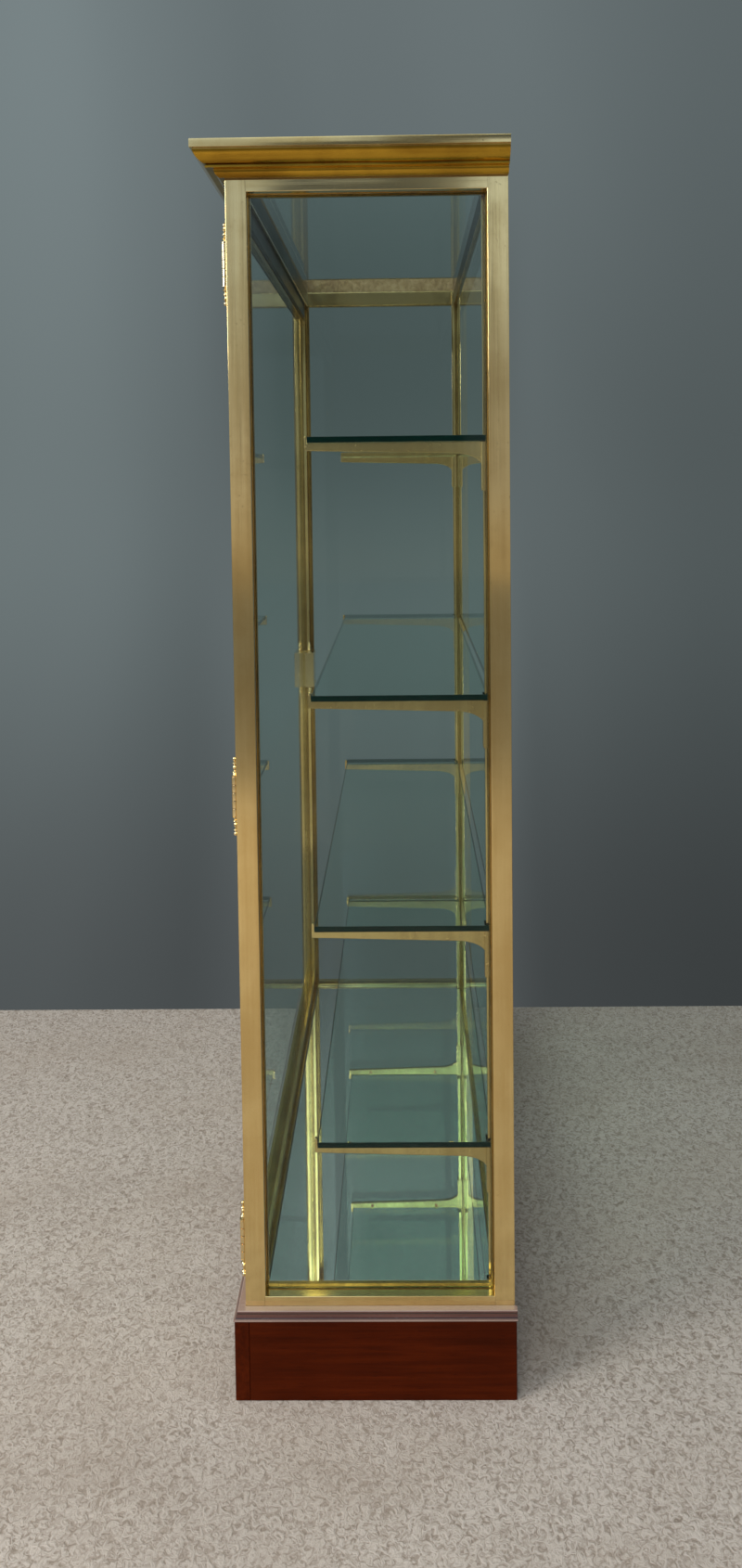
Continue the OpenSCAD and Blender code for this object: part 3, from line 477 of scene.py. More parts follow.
# ---- Softwood carcass ----
# Sawn boards and blocks inside the plinth and the cornice, hardly seen: the board under the frame,
# the bed of the floor, the glue blocks and the core of the cornice.
def softwood():
    material, sheet = new_material("carcass softwood")
    spot = sheet.place()
    grain = sheet.noise(spot, 90, (0.06, 1.0, 1.0), detail=5, rough=0.6, warp=0.4)
    colour = sheet.blend(sheet.span(grain, 0.35, 0.65), (0.20, 0.115, 0.055), (0.42, 0.29, 0.16))
    sheet.surface(Base_Color=colour, Roughness=0.75, Normal=sheet.bump(grain, 0.3, 0.001))
    return material


timber = softwood()


def dress(material, *nodes):
    """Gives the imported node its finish."""
    for node in nodes:
        mesh = frame["nodes"][node].data
        mesh.materials.clear()
        mesh.materials.append(material)


dress(timber, "plinth_blocks", "base_board", "floor_bed", "cornice_core")


# ---- Mirror floor ----
# Silvered plate glass laid in the foot of the frame, greenish in its depth. The plate itself is
# made with the shelves, as it is notched in the same way.
def mirror_glass():
    material, sheet = new_material("silvered plate")
    spot = sheet.place()
    haze = sheet.noise(spot, 9, detail=4, rough=0.6)
    sheet.surface(Base_Color=sheet.blend(haze, (0.82, 0.85, 0.82), (0.88, 0.91, 0.88)), Metallic=0.94,
                  Roughness=haze * 0.01)
    return material


silvered = mirror_glass()


# ---- Brass frame ----
# Square drawn tube, mitred and soldered, hand polished, so the faces are a little wavy and the
# arrises soft. Every post and rail is one length of tube.
BRASS, BRASS_TARNISH = (0.88, 0.68, 0.31), (0.58, 0.38, 0.12)


def brass(name, bright, tarnish, rough=0.07, wave=0.5, mottle=0.35, along=2, pale_above=None):
    """Polished brass: reflections are broken by slow waves and long draw marks that run along the
    tube, and thin tarnish dulls and warms it in clouds, in streaks along it and in small spots."""
    material, sheet = new_material(name)
    spot = sheet.place()
    cloud = sheet.noise(spot, 6.5, detail=5, rough=0.62, warp=0.3)
    speck = sheet.span(sheet.noise(spot, 170, detail=3, rough=0.6), 0.66, 0.78)
    drawn = [1.0, 1.0, 1.0]
    drawn[along] = 0.03
    rub = sheet.noise(spot, 900, drawn, detail=2)
    streak = sheet.noise(spot, 75, drawn, detail=3, rough=0.55)
    dull = sheet.span(cloud * 0.6 + streak * 0.4, 0.38, 0.64)
    colour = sheet.blend(dull * mottle, bright, tarnish)
    if pale_above is not None:
        height = sheet.span(sheet.split(spot, 2), pale_above - 0.0015, pale_above)
        colour = sheet.blend(height, colour, sheet.blend(dull * mottle, BRASS, BRASS_TARNISH))
    colour = sheet.blend(speck * 0.45, colour, tuple(v * 0.55 for v in tarnish))
    slow = sheet.noise(spot, 7, (1, 1, 0.5), detail=1) + streak * 0.22
    wear_and_painted_lines = rough + dull * 0.05 + rub * 0.03 + speck * 0.15
    sheet.surface(Base_Color=colour, Metallic=1.0, Roughness=wear_and_painted_lines, Normal=sheet.bump(slow, wave, 0.0012))
    return material


def painted_shade_faces(normal, inward):
    """Picks the second material, brass darkened as painted shade, for faces that look inward or down."""
    return (normal @ np.array(inward) > 0.7) | (normal[:, 2] < -0.7)


frame_brass = brass("frame brass", BRASS, BRASS_TARNISH, mottle=0.5)
rail_brass = {0: brass("long rail brass", BRASS, BRASS_TARNISH, mottle=0.5, along=0),
              1: brass("end rail brass", BRASS, BRASS_TARNISH, mottle=0.5, along=1)}
# Near-black brass for the inward and downward faces of the head rails: painted shade, darker than the brass
# is under any lamp.
painted_shade_brass = brass("unpolished brass", (0.085, 0.075, 0.050), (0.035, 0.030, 0.020), rough=0.3, wave=0.2,
                   along=0)
TUBE_EDGE, TUCK = 0.0009, 0.0022


def tube(node, tuck_axis=None, edge=TUBE_EDGE):
    """A length of tube where the node is; its ends run a little way into what it is soldered to."""
    a, b = (list(corner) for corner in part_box(node))
    if tuck_axis is not None:
        a[tuck_axis] -= TUCK
        b[tuck_axis] += TUCK
    return rings_of_box(a, b, edge)


for node in ("post_front_right", "post_back_left", "post_back_right"):
    piece(node + "_tube", [tube(node)], [frame_brass], "case", [node])
dress(frame_brass, "post_front_left")  # keeps its slot for the bolt
for row in ("bottom_rail", "head_rail"):
    for side in ("front", "back", "left", "right"):
        node = f"{row}_{side}"
        axis = 0 if side in ("front", "back") else 1
        inner = (0, 1, 0) if side == "front" else (0, -1, 0)
        # The front and back head rails take the painted shade brass on their inward and downward faces.
        inside = (lambda n, i=inner: painted_shade_faces(n, i)) if axis == 0 and row == "head_rail" else None
        piece(node + "_tube", [tube(node, axis)], [rail_brass[axis], painted_shade_brass],
              "case", [node], choose=inside)


# ---- Cornice ----
# Brass casing drawn over a timber core: flat cap, dark groove, ovolo, thin fillet, small quarter
# round and a soffit, mitred at the front corners and cut off flush at the back.
CORNICE_BRIGHT, CORNICE_TARNISH = (0.54, 0.32, 0.034), (0.22, 0.10, 0.010)
cornice_top = high.z
CASING, CASING_IN, CAP, BACK_EASE = 0.0014, 0.018, 0.0125, 0.0006


def cornice_outer():
    """The outer profile from the inner edge of the top to the soffit, as (out, height). The members
    are drawn with the top at zero."""
    reach = case_plan[0][0] - low.x
    groove = reach - 0.0036
    cap = [(-CASING_IN, 0.0), (reach - 0.0012, 0.0), (reach - 0.0004, -0.0004), (reach, -0.0012),
           (reach, 0.0012 - CAP), (reach - 0.0004, 0.0004 - CAP), (reach - 0.0012, -CAP),
           (groove, -CAP), (groove, -CAP - 0.0014)]
    ovolo = arc((groove, -0.0140), (0.0225, -0.0310), 0.024, 12)
    neck = [(0.0221, -0.0313), (0.0221, -0.0319)]
    fillet = [(0.0232, -0.0321), (0.0236, -0.0325), (0.0236, -0.0345), (0.0232, -0.0349), (0.0135, -0.0350)]
    foot = arc((0.0132, -0.0352), (0.0070, -0.0446), 0.0115, 8)
    soffit = [(0.0066, -0.045), (0.0004, -0.045)]
    return [(out, cornice_top + rise) for out, rise in [*cap, *ovolo, *neck, *fillet, *foot, *soffit]]


def thicken(profile, wall):
    """Closes a profile with a copy of itself set in by the wall's thickness along its normals."""
    line = np.array(profile)
    step = np.gradient(line, axis=0)
    normal = np.stack([step[:, 1], -step[:, 0]], -1)
    normal /= np.linalg.norm(normal, axis=1)[:, None]
    return np.concatenate([line, (line + normal * wall)[::-1]])


cornice_brass = brass("cornice brass", CORNICE_BRIGHT, CORNICE_TARNISH, rough=0.08, wave=0.6, mottle=0.8,
                      along=1, pale_above=cornice_top - CAP)
cornice_rings = rings_along_case(thicken(cornice_outer(), CASING), post_high.y)
piece("cornice_casing", [cornice_rings], [cornice_brass], "case",
      ["cornice_front", "cornice_left", "cornice_right"], sharp=30)
piece("cornice_back_strip", [rings_of_box(*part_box("cornice_back"), BACK_EASE)], [cornice_brass],
      "case", ["cornice_back"])


# ---- Case glass ----
# Clear plate held between brass beads: top, back and both ends. It reflects on the side the light
# comes from and takes a little green out of what is seen through it.
def plate_glass(name, tint, gloss=0.0):
    """A thin pane: what passes through is tinted, and the share that is reflected follows Fresnel's
    curve for both faces together, 2F / (1 + F), on the face that is looked at."""
    material, sheet = new_material(name)
    spot = sheet.place()
    fresnel = sheet.node("Fresnel", {}, {"IOR": 1.5})
    smear = sheet.noise(spot, 5, (1, 1, 0.4), detail=3)
    through = sheet.node("BsdfTransparent", {}, {0: tint})
    mirror = sheet.node("BsdfGlossy", {}, {"Color": (0.96, 1.0, 0.98), "Roughness": gloss})
    front = 1.0 - sheet.node("NewGeometry", out="Backfacing")
    share = (fresnel * 2.0 / (fresnel + 1.0) - 0.055) * front * (smear * 0.2 + 0.9)
    mixed = sheet.node("MixShader", {}, {0: share, 1: through, 2: mirror})
    sheet.node("OutputMaterial", {}, {0: mixed})
    return material


case_glass = plate_glass("case glass", (0.912, 0.952, 0.940))
PANE_EDGE = 0.0006
for node in ("top_glass", "back_glass", "end_glass_left", "end_glass_right"):
    piece(node + "_pane", [rings_of_box(*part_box(node), PANE_EDGE, 2)], [case_glass],
          "case", [node])


# ---- Glazing beads of the case ----
# Slim brass strips, square in section with eased arrises, pinned round each pane; the door shuts
# against a strip of the same kind.
STRIP_EDGE = 0.0004


def strips_round(a, b, flat, width):
    """Four strips round the rectangle between corners a and b, which lies square to axis flat."""
    rows = []
    i, k = [axis for axis in range(3) if axis != flat]
    for axis, other in ((k, i), (i, k)):
        for end in (0, 1):
            p, q = list(a), list(b)
            if end:
                p[other] = b[other] - width
            else:
                q[other] = a[other] + width
            if axis == i:
                p[axis] += width - STRIP_EDGE
                q[axis] -= width - STRIP_EDGE
            rows.append(rings_of_box(p, q, STRIP_EDGE, 2))
    return rows


def bead_pair(node, flat, lower_w, upper_w, pane):
    """The strips on both faces of a pane, each from the pane's face to the node's own limit along
    the flat axis; the two widths are those on the lower and the upper side of that axis."""
    a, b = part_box(node)
    glass_a, glass_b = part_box(pane)
    lower_end, upper_start = list(b), list(a)
    lower_end[flat], upper_start[flat] = glass_a[flat], glass_b[flat]
    return strips_round(a, lower_end, flat, lower_w) + strips_round(upper_start, b, flat, upper_w)


BEAD, STOP = 0.0025, 0.001
# The beads and rebate strips are a darker brass than the frame: painted shade, for the dark line round the
# edge of each pane.
bead_brass = brass("bead brass", (0.55, 0.37, 0.12), (0.20, 0.12, 0.035), rough=0.14, wave=0.2, mottle=0.7)
piece("back_glazing_beads", bead_pair("back_beads", 1, BEAD, STOP, "back_glass"), [bead_brass],
      "case", ["back_beads"])
piece("end_glazing_beads_left", bead_pair("end_beads_left", 0, STOP, BEAD, "end_glass_left"),
      [bead_brass], "case", ["end_beads_left"])
piece("end_glazing_beads_right", bead_pair("end_beads_right", 0, BEAD, STOP, "end_glass_right"),
      [bead_brass], "case", ["end_beads_right"])
lock_low, lock_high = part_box("lock_cover")
STRIP_W, LOCK_ROOM = 0.005, 0.002


def lock_side_strips(a, b, width):
    """The upright strip on the lock's side, left out where the lock's case stands."""
    ends = ((a[2], lock_low.z - LOCK_ROOM), (lock_high.z + LOCK_ROOM, b[2]))
    return [rings_of_box((a[0], a[1], z0), (a[0] + width, b[1], z1), STRIP_EDGE, 2) for z0, z1 in ends]


strip_low, strip_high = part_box("door_rebate_strips")
rebate_rods = strips_round(strip_low, strip_high, 1, STRIP_W)
rebate_rods[:1] = lock_side_strips(strip_low, strip_high, STRIP_W)
piece("door_rebate_rods", rebate_rods, [bead_brass], "case", ["door_rebate_strips"])


# ---- Door ----
# A brass tube frame hung on the front right post and glazed like the case. Its stiles run the full
# height and its rails are soldered between them.
for node in ("door_stile_hinge", "door_stile_lock"):
    piece(node + "_tube", [tube(node)], [frame_brass], "door", [node])
for node in ("door_rail_top", "door_rail_bottom"):
    # The top rail takes the painted shade brass on its inward and downward faces.
    inside = (lambda n: painted_shade_faces(n, (0, 1, 0))) if "top" in node else None
    piece(node + "_tube", [tube(node, 0)], [rail_brass[0], painted_shade_brass], "door", [node],
          choose=inside)
piece("door_glass_pane", [rings_of_box(*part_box("door_glass"), PANE_EDGE, 2)], [case_glass],
      "door", ["door_glass"])
door_beads = bead_pair("door_beads", 1, STOP, BEAD, "door_glass")
bead_low, bead_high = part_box("door_beads")
inner_low = (bead_low.x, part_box("door_glass")[1].y, bead_low.z)
door_beads[4:5] = lock_side_strips(inner_low, bead_high, BEAD)
piece("door_glazing_beads", door_beads, [bead_brass], "door", ["door_beads"])


# ---- Hinges ----
# Three turned brass butts with five knuckles each, on a loose pin that ends in beaded finials. One
# leaf is screwed to the post and the other to the door's stile.
def rings_turned(profile, centre, axis, around=24):
    """Turns a profile of (radius, distance along the axis) points about the axis through the centre."""
    profile = np.array(profile, float)
    t = np.linspace(0, 2 * math.pi, around, endpoint=False)
    radius, along = profile[:, :1], profile[:, 1:]
    pts = np.stack([radius * np.cos(t), radius * np.sin(t), along + 0 * t], -1)
    order = {2: (0, 1, 2), 1: (0, 2, 1), 0: (2, 0, 1)}[axis]
    return pts[..., list(order)] + np.array(centre, float)


def bead_on(profile, middle, radius, half):
    """Adds a rounded bead, a half ellipse, to a profile."""
    t = np.linspace(-math.pi / 2, math.pi / 2, 7)
    profile += [(radius * math.cos(v), middle + half * math.sin(v)) for v in t[1:-1]]


# Middle, radius and half height of the bead, the vase and the second bead
FINIAL_BEADS = (0.0062, 0.0043, 0.0019), (0.0118, 0.0029, 0.0034), (0.0182, 0.0036, 0.0016)
FINIAL_L, COLLAR_R, NECK_R = 0.027, 0.0050, 0.0017


def finial_profile(start, length):
    """A collar, a bead, a slim vase, a second bead and a ball, each smaller than the last."""
    line = [(0.0, start - 0.002), (COLLAR_R - 0.0001, start), (COLLAR_R, start + 0.0006),
            (COLLAR_R, start + 0.0016), (0.0030, start + 0.0024)]
    unit = length / FINIAL_L
    for middle, radius, half in FINIAL_BEADS:
        bead_on(line, start + middle * unit, radius, half * unit)
        line.append((NECK_R, start + (middle + half + 0.0004) * unit))
    bead_on(line, start + 0.0240 * unit, 0.0031, 0.0030 * unit)
    return line + [(0.0, start + FINIAL_L * unit)]


fitting_brass = brass("fitting brass", (0.90, 0.72, 0.38), (0.60, 0.40, 0.16), wave=0.12, mottle=0.25)
hinge_joint = next(j for j in frame["joints"] if j["name"] == "door_swing")
axis_x, axis_y = hinge_joint["pos_m"][:2]
KNUCKLE_R, KNUCKLE_EASE, BARREL, KNUCKLES, KNUCKLE_GAP = 0.005, 0.0007, 0.060, 5, 0.0004
LEAF_T, LEAF_W, LEAF_GAP, LEAF_EDGE = 0.0018, 0.021, 0.00015, 0.0005
MIDDLE_DROP = 0.050  # the middle hinge is this far below the door's middle
leaves_low, leaves_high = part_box("hinge_frame_leaves")
middle_z = (leaves_low.z + leaves_high.z) / 2 - MIDDLE_DROP
hinge_z = [leaves_low.z + BARREL / 2, middle_z, leaves_high.z - BARREL / 2]
finial_l = leaves_low.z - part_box("hinge_pins")[0].z
knuckle_l = BARREL / KNUCKLES
front_y = post_low.y


def knuckle(a, b):
    """One knuckle of the barrel between two heights, with both its ends eased."""
    r, ease, part = KNUCKLE_R, KNUCKLE_EASE, KNUCKLE_EASE * 0.3
    line = [(0.0, a), (r - ease, a), (r - part, a + part), (r, a + ease),
            (r, b - ease), (r - part, b - part), (r - ease, b), (0.0, b)]
    return rings_turned(line, (axis_x, axis_y, 0), 2)


def leaves(first, way):
    """One body's leaf of every hinge, with its tongues and every second knuckle from the first."""
    stacks = []
    x0, x1 = sorted((axis_x + way * LEAF_GAP, axis_x + way * (LEAF_GAP + LEAF_T)))
    for z in hinge_z:
        foot = z - BARREL / 2
        for k in range(first, KNUCKLES, 2):
            a = foot + k * knuckle_l + KNUCKLE_GAP / 2
            b = a + knuckle_l - KNUCKLE_GAP
            stacks.append(knuckle(a, b))
            stacks.append(rings_of_box((x0, axis_y + 0.001, a), (x1, front_y + 0.002, b), LEAF_EDGE, 2))
        stacks.append(rings_of_box((x0, front_y - 0.0005, foot), (x1, front_y + LEAF_W, foot + BARREL),
                                   LEAF_EDGE, 2))
    return stacks


def mirrored(profile, way):
    """The profile itself for way 1, or run the other way along the axis for way -1."""
    return [(radius, way * along) for radius, along in profile]


piece("hinge_frame_leaves_turned", leaves(0, 1), [fitting_brass],
      "case", ["hinge_frame_leaves"])
piece("hinge_door_leaves_turned", leaves(1, -1), [fitting_brass],
      "door", ["hinge_door_leaves"])
finial = finial_profile(BARREL / 2, finial_l)
pin_stacks = [rings_turned(mirrored(finial, way), (axis_x, axis_y, z), 2) for z in hinge_z for way in (-1, 1)]
piece("hinge_finials", pin_stacks, [fitting_brass], "case", ["hinge_pins"])


# ---- Shelf uprights ----
# Two flat brass bars that stand against the back rails, screwed at foot and head. The shelf
# brackets slide on them.
upright_low, upright_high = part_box("shelf_uprights")
BAR_W, BAR_EDGE = 0.012, 0.0009
bar_x = upright_high.x - BAR_W / 2
bars = [rings_of_box((x - BAR_W / 2, upright_low.y, upright_low.z),
                     (x + BAR_W / 2, upright_high.y, upright_high.z), BAR_EDGE, 2) for x in (-bar_x, bar_x)]
piece("shelf_upright_bars", bars, [frame_brass], "case", ["shelf_uprights"])


# ---- Shelves ----
# Four plates of thick glass with polished dark green edges, notched round the uprights. Each lies
# loose on its pair of brackets. The mirror in the floor is notched in the same way.
def rings_of_plate(outline, thick, radius, steps=3):
    """A flat plate from its outline: the outline is drawn in by a quarter circle at both faces."""
    outline = np.array(outline, float)
    ahead = np.roll(outline, -1, 0) - outline
    behind = outline - np.roll(outline, 1, 0)
    ahead /= np.linalg.norm(ahead, axis=1)[:, None]
    behind /= np.linalg.norm(behind, axis=1)[:, None]
    n1, n2 = np.stack([ahead[:, 1], -ahead[:, 0]], -1), np.stack([behind[:, 1], -behind[:, 0]], -1)
    area = np.sum(outline[:, 0] * np.roll(outline[:, 1], -1) - outline[:, 1] * np.roll(outline[:, 0], -1))
    mitre = (n1 + n2) / (1 + np.sum(n1 * n2, axis=1))[:, None] * (1 if area > 0 else -1)
    t = np.linspace(0, math.pi / 2, steps + 1)
    inset = radius * (1 - np.sin(t))
    inset = np.concatenate([inset, inset[::-1]])
    level = thick / 2 - radius * (1 - np.cos(t))
    level = np.concatenate([-level, level[::-1]])
    flat = outline[None] - mitre[None] * inset[:, None, None]
    return np.concatenate([flat, np.repeat(level[:, None], len(outline), 1)[..., None]], -1)


def shelf_edge_glass():
    """The edge looks nearly black-green, because light runs along the plate inside it."""
    material, sheet = new_material("shelf glass edge")
    spot = sheet.place()
    depth = sheet.noise(spot, 30, detail=3)
    sheet.surface(Base_Color=sheet.blend(depth, (0.0008, 0.008, 0.006), (0.002, 0.018, 0.013)),
                  Roughness=0.12, Specular_IOR_Level=0.12)
    return material


shelf_glass = plate_glass("shelf glass", (0.90, 0.958, 0.935))
shelf_edge = shelf_edge_glass()
NOTCH_ROOM, SHELF_EDGE, MIRROR_EDGE = 0.002, 0.0012, 0.0005
NOTCH = BAR_W / 2 + NOTCH_ROOM


def notched_plate(node, edge):
    """The plate of this node, with its two notches for the uprights in the back edge."""
    a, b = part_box(node)
    notch_y = upright_low.y - NOTCH_ROOM
    outline = [(a.x, a.y), (b.x, a.y), (b.x, b.y), (bar_x + NOTCH, b.y), (bar_x + NOTCH, notch_y),
               (bar_x - NOTCH, notch_y), (bar_x - NOTCH, b.y), (-bar_x + NOTCH, b.y),
               (-bar_x + NOTCH, notch_y), (-bar_x - NOTCH, notch_y), (-bar_x - NOTCH, b.y), (a.x, b.y)]
    return rings_of_plate(outline, b.z - a.z, edge) + np.array([0, 0, (a.z + b.z) / 2])


def is_edge(normals):
    """Picks the second material for the faces round the edge of a level plate."""
    return np.abs(normals[:, 2]) < 0.9


SHELVES = range(1, 5)
for n in SHELVES:
    piece(f"shelf_plate_{n}", [notched_plate(f"shelf_glass_{n}", SHELF_EDGE)], [shelf_glass, shelf_edge],
          f"shelf_{n}", [f"shelf_glass_{n}"], choose=is_edge)
piece("floor_mirror_plate", [notched_plate("floor_mirror", MIRROR_EDGE)], [silvered, shelf_edge], "case",
      ["floor_mirror"], choose=is_edge)


# ---- Shelf brackets ----
# Cast brass arms with a curved root, an upturned lip that stops the glass and two studs on the
# inner side, on a collar that grips the upright.
ARM_T, ARM_RISE, ARM_DEEP, ARM_RUN, ARM_DROP, LIP = 0.008, 0.0105, 0.0175, 0.043, 0.0385, 0.005
COLLAR_W, COLLAR_H, COLLAR_OUT = 0.017, 0.072, 0.0025
ARM_EASE, COLLAR_EASE, ROOT_IN = 0.0012, 0.0014, 0.002
STUD_R, STUD_L, STUD_SHARES = 0.0036, 0.0065, (0.2, 0.8)


def arm_outline(tip, root):
    """The arm's side in (along, height): the lip, a level top, and an underside that falls gently
    and then sweeps down into the collar in a quarter of an ellipse."""
    t = np.linspace(0, math.pi, 9)
    rounded = np.stack([tip + LIP / 2 + LIP / 2 * np.cos(t), ARM_RISE - LIP / 2 + LIP / 2 * np.sin(t)], -1)
    sweep = np.linspace(0, math.pi / 2, 12)
    fall = ARM_DROP - ARM_DEEP
    under = np.stack([root - ARM_RUN + ARM_RUN * np.sin(sweep), -ARM_DEEP - fall * (1 - np.cos(sweep))], -1)
    nose = [(tip, -0.0095), (tip + 0.0006, -0.0108), (tip + 0.0018, -0.0115)]
    return np.concatenate([[(root, 0.0), (tip + LIP, 0.0)], rounded, nose, under])


def stud(place, way):
    """A round stud with a thinner neck that points along X from the arm's side."""
    neck = STUD_R * 0.8
    line = [(0.0, 0.0), (neck, 0.0), (neck, STUD_L * 0.35), (STUD_R, STUD_L * 0.45), (STUD_R, STUD_L * 0.8),
            (neck, STUD_L * 0.95), (0.0, STUD_L)]
    base = ARM_T / 2 - 0.0005
    return rings_turned([(radius, way * (along + base)) for radius, along in line], place, 0, 16)


def bracket(side, y0, y1, top):
    """One bracket: the arm from y0, its collar, which ends at y1, and its studs on the inner side."""
    x = side * bar_x
    collar_y = upright_low.y - COLLAR_OUT
    arm = rings_of_plate(arm_outline(y0, collar_y + ROOT_IN), ARM_T, ARM_EASE)[..., [2, 0, 1]]
    collar = rings_of_box((x - COLLAR_W / 2, collar_y, top - COLLAR_H), (x + COLLAR_W / 2, y1, top),
                          COLLAR_EASE)
    studs = [stud((x, y0 + share * (collar_y - y0), top - STUD_R - 0.0004), -side) for share in STUD_SHARES]
    return [arm + np.array([x, 0, top]), collar, *studs]


cast_brass = brass("cast brass", (0.84, 0.62, 0.27), (0.52, 0.34, 0.13), rough=0.18, wave=0.6, mottle=0.5)
for n in SHELVES:
    a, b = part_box(f"shelf_brackets_{n}")
    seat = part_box(f"shelf_glass_{n}")[0].z
    pair = [rings for side in (-1, 1) for rings in bracket(side, a.y, b.y, seat)]
    piece(f"shelf_bracket_castings_{n}", pair, [cast_brass], f"shelf_{n}",
          [f"shelf_brackets_{n}"])


# ---- Lock ----
# A cast case let into the back of the stile with turned finials above and below, a cover held by
# four round screws, an escutcheon in front, and a steel bolt and key. The case, the bolt and the
# keeper stay as packed, as their slots and hollows have to clear one another.
def bright_steel():
    material, sheet = new_material("bright steel")
    spot = sheet.place()
    draw = sheet.noise(spot, 500, (0.08, 1, 1), detail=3)
    sheet.surface(Base_Color=sheet.blend(draw, (0.42, 0.41, 0.38), (0.60, 0.58, 0.55)), Metallic=1.0,
                  Roughness=draw * 0.12 + 0.2, Normal=sheet.bump(draw, 0.1, 0.0003))
    return material


COVER_EDGE = 0.0005
steel = bright_steel()
dress(fitting_brass, "lock_case", "lock_keeper")
dress(steel, "lock_bolt")
piece("lock_cover_plate", [rings_of_box(lock_low, lock_high, COVER_EDGE, 2)], [fitting_brass], "door",
      ["lock_cover"])

plate_low, plate_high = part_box("lock_escutcheon")
disc_r, disc_t = (plate_high.x - plate_low.x) / 2, plate_high.y - plate_low.y
# How far in from the edge, and the share of the disc's thickness
rim = ((0.0, 0.0), (0.0, 0.4), (0.0003, 0.75), (0.0009, 1.0), (0.0018, 1.0), (0.0022, 0.8))
disc = [(0.0, 0.0)] + [(disc_r - inset, disc_t * share) for inset, share in rim] + [(0.0, disc_t * 0.8)]
disc_centre = ((plate_low.x + plate_high.x) / 2, plate_high.y, (plate_low.z + plate_high.z) / 2)
piece("lock_escutcheon_disc", [rings_turned(mirrored(disc, -1), disc_centre, 1, 40)], [fitting_brass],
      "door", ["lock_escutcheon"])


def ring_bow(centre, half, radius, wire, around=36, steps=10):
    """A bow of round wire whose middle line is two half circles joined by straights of 2 * half,
    lying flat; each station is a small circle across the line."""
    t = np.linspace(0, 2 * math.pi, around, endpoint=False) + 0.01
    out = np.stack([np.cos(t), np.sin(t), 0 * t], -1)
    middle = np.stack([radius * np.cos(t) + half * np.sign(np.cos(t)), radius * np.sin(t), 0 * t], -1)
    u = np.linspace(0, 2 * math.pi, steps, endpoint=False)
    across = out[:, None] * np.cos(u)[None, :, None] + np.array([0, 0, 1.0]) * np.sin(u)[None, :, None]
    loop = middle[:, None] + wire * across
    return np.concatenate([loop, loop[:1]]) + np.array(centre)


key_low, key_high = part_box("lock_key")
KEY_R, BOW_R, BOW_HALF, WIRE = 0.0022, 0.0055, 0.0035, 0.0015
BIT_T, BIT_REACH, BIT_EDGE = 0.002, 0.009, 0.0003
key_x, key_z = (key_low.x + key_high.x) / 2, (key_low.z + key_high.z) / 2
bow_y = key_low.y + BOW_R + WIRE
collar_y = plate_low.y - 0.0025
collar = ((-0.0006, 0.0), (-0.0002, 0.0010), (0.0002, 0.0012), (0.0009, 0.0012), (0.0013, 0.0010),
          (0.0015, 0.0))
key_line = [(0.0, bow_y + BOW_R - 0.0008), (KEY_R * 0.8, bow_y + BOW_R - 0.0004)]
key_line += [(KEY_R + out, collar_y + y) for y, out in collar]
key_line += [(KEY_R, key_high.y - 0.0005), (KEY_R - 0.0005, key_high.y), (0.0, key_high.y)]
bolt_low, bolt_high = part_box("lock_bolt")
key_stacks = [rings_turned(key_line, (key_x, 0, key_z), 1, 20),
              ring_bow((key_x, bow_y, key_z), BOW_HALF, BOW_R, WIRE),
              rings_of_box((key_x - BIT_REACH, bolt_low.y + 0.0005, key_z - BIT_T / 2),
                           (key_x, bolt_high.y - 0.0010, key_z + BIT_T / 2), BIT_EDGE, 2)]
piece("lock_key_forged", key_stacks, [steel], "key", ["lock_key"])


# ---- Screws ----
# Countersunk brass screws, slotted, in the hinge leaves, the keeper and the uprights, and four round
# ones in the lock's cover.
HEAD_R, HEAD_H, SHANK_R, SHANK_L, CORNER = 0.003, 0.001, 0.0015, 0.007, 0.005
SLOT_DEEP, SLOT_TURN, HEAD_EASE, HEAD_SUNK = 0.0004, 0.13, 0.0001, 0.0004
HINGE_STEPS, KEEPER_STEPS = (-0.020, 0.0, 0.020), (-0.022, 0.022)


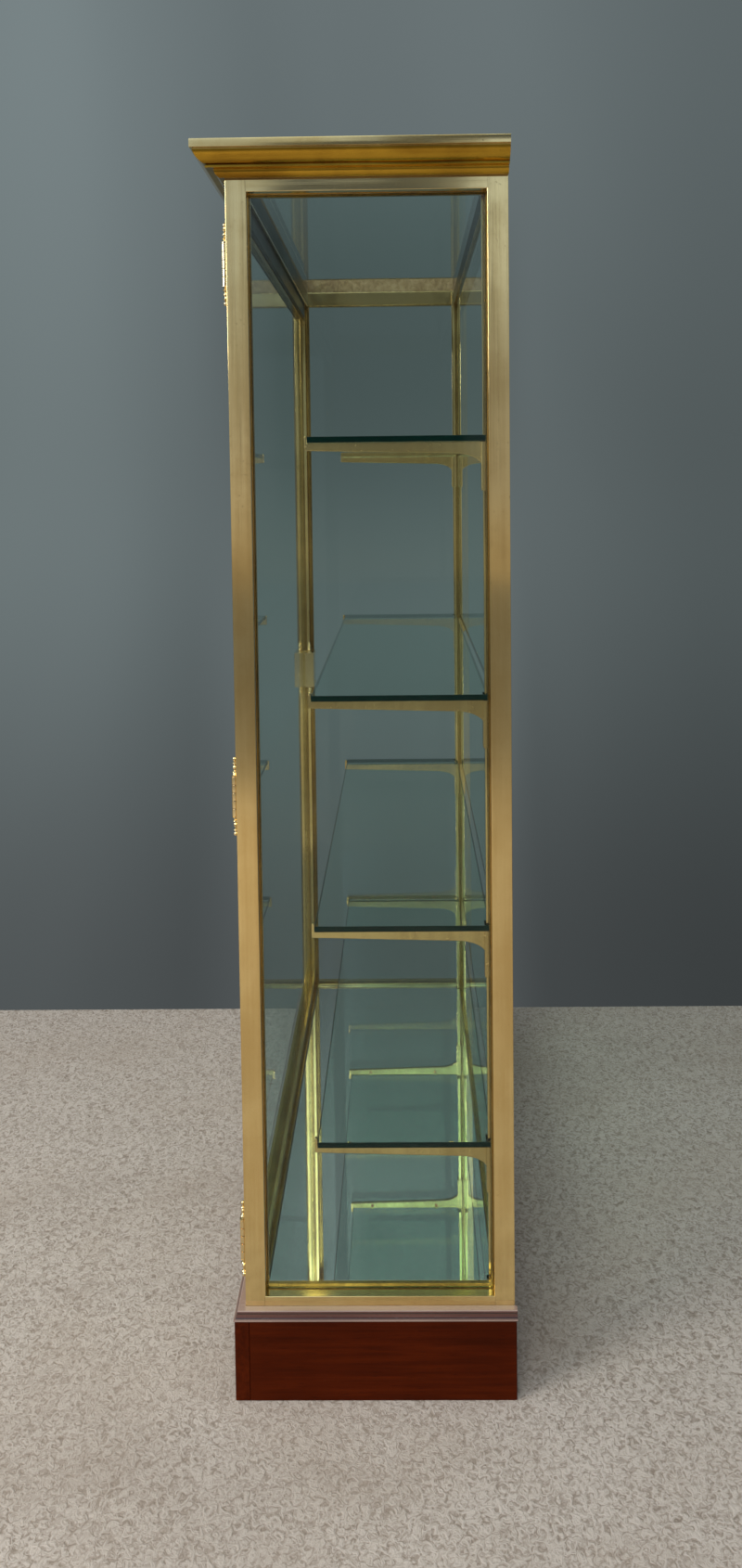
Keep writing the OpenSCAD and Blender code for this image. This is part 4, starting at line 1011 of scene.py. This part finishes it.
def slotted_head(place, axis, way):
    """A flat head, flush with the face: a disc with two segments of a circle on it that leave the
    slot between them."""
    disc = [(0.0, SLOT_DEEP), (HEAD_R, SLOT_DEEP), (HEAD_R, HEAD_H), (0.0, HEAD_H)]
    stacks = [rings_turned(mirrored(disc, way), place, axis, 20)]
    t = np.linspace(SLOT_TURN, math.pi - SLOT_TURN, 9)
    half = (HEAD_R - HEAD_EASE) * np.stack([np.cos(t), np.sin(t)], -1)
    for turn in (1, -1):
        rings = rings_of_plate(half * turn, SLOT_DEEP * 1.2, HEAD_EASE, 1)
        u, v, level = rings[..., 0], rings[..., 1], way * (rings[..., 2] + SLOT_DEEP * 0.6)
        stacks.append(np.stack([level, u, v] if axis == 0 else [u, level, v], -1) + np.array(place))
    return stacks


def round_head():
    """The profile of a round head, in (radius, height): a short wall, then a quarter of an ellipse
    up to its top."""
    t = np.linspace(0, math.pi / 2, 7)
    wall = HEAD_H * 0.15
    crown = [(HEAD_R * math.cos(v), wall + (HEAD_H - wall) * math.sin(v)) for v in t]
    return [(0.0, -HEAD_SUNK), (HEAD_R, -HEAD_SUNK), *crown]


def shank(place, axis, way):
    """The screw's shank with a blunt point, from under its head."""
    end = HEAD_H + SHANK_L
    line = [(0.0, HEAD_H * 0.8), (SHANK_R, HEAD_H * 0.8), (SHANK_R, end - 0.002), (0.0004, end), (0.0, end)]
    return rings_turned(mirrored(line, way), place, axis, 12)


LEAF_SCREW_IN, KEEPER_SCREW_BACK = 0.014, 0.003
screw_y = front_y + LEAF_SCREW_IN
lock_mid = (lock_low.z + lock_high.z) / 2
screw_low, screw_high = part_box("frame_screws")


def hinge_places(way):
    """Place, axis and way of the screws in one body's leaves."""
    return [((axis_x + way * LEAF_GAP, screw_y, z + step), 0, way) for z in hinge_z for step in HINGE_STEPS]


def slotted_screws(places):
    return [rings for spot in places for rings in (*slotted_head(*spot), shank(*spot))]


keeper_y = screw_y + KEEPER_SCREW_BACK
keeper_places = [((strip_low.x, keeper_y, lock_mid + step), 0, -1) for step in KEEPER_STEPS]
upright_places = [((side * bar_x, upright_low.y, z), 1, 1)
                  for side in (-1, 1) for z in (screw_low.z + HEAD_R, screw_high.z - HEAD_R)]
cover_screws = []
for x in (lock_low.x + CORNER, lock_high.x - CORNER):
    for z in (lock_low.z + CORNER, lock_high.z - CORNER):
        spot = (x, lock_high.y, z)
        cover_screws += [rings_turned(round_head(), spot, 1, 24), shank(spot, 1, -1)]
piece("frame_screws_turned", slotted_screws(hinge_places(1) + keeper_places + upright_places),
      [fitting_brass], "case", ["frame_screws"])
piece("door_screws_turned", slotted_screws(hinge_places(-1)) + cover_screws,
      [fitting_brass], "door", ["door_screws"])
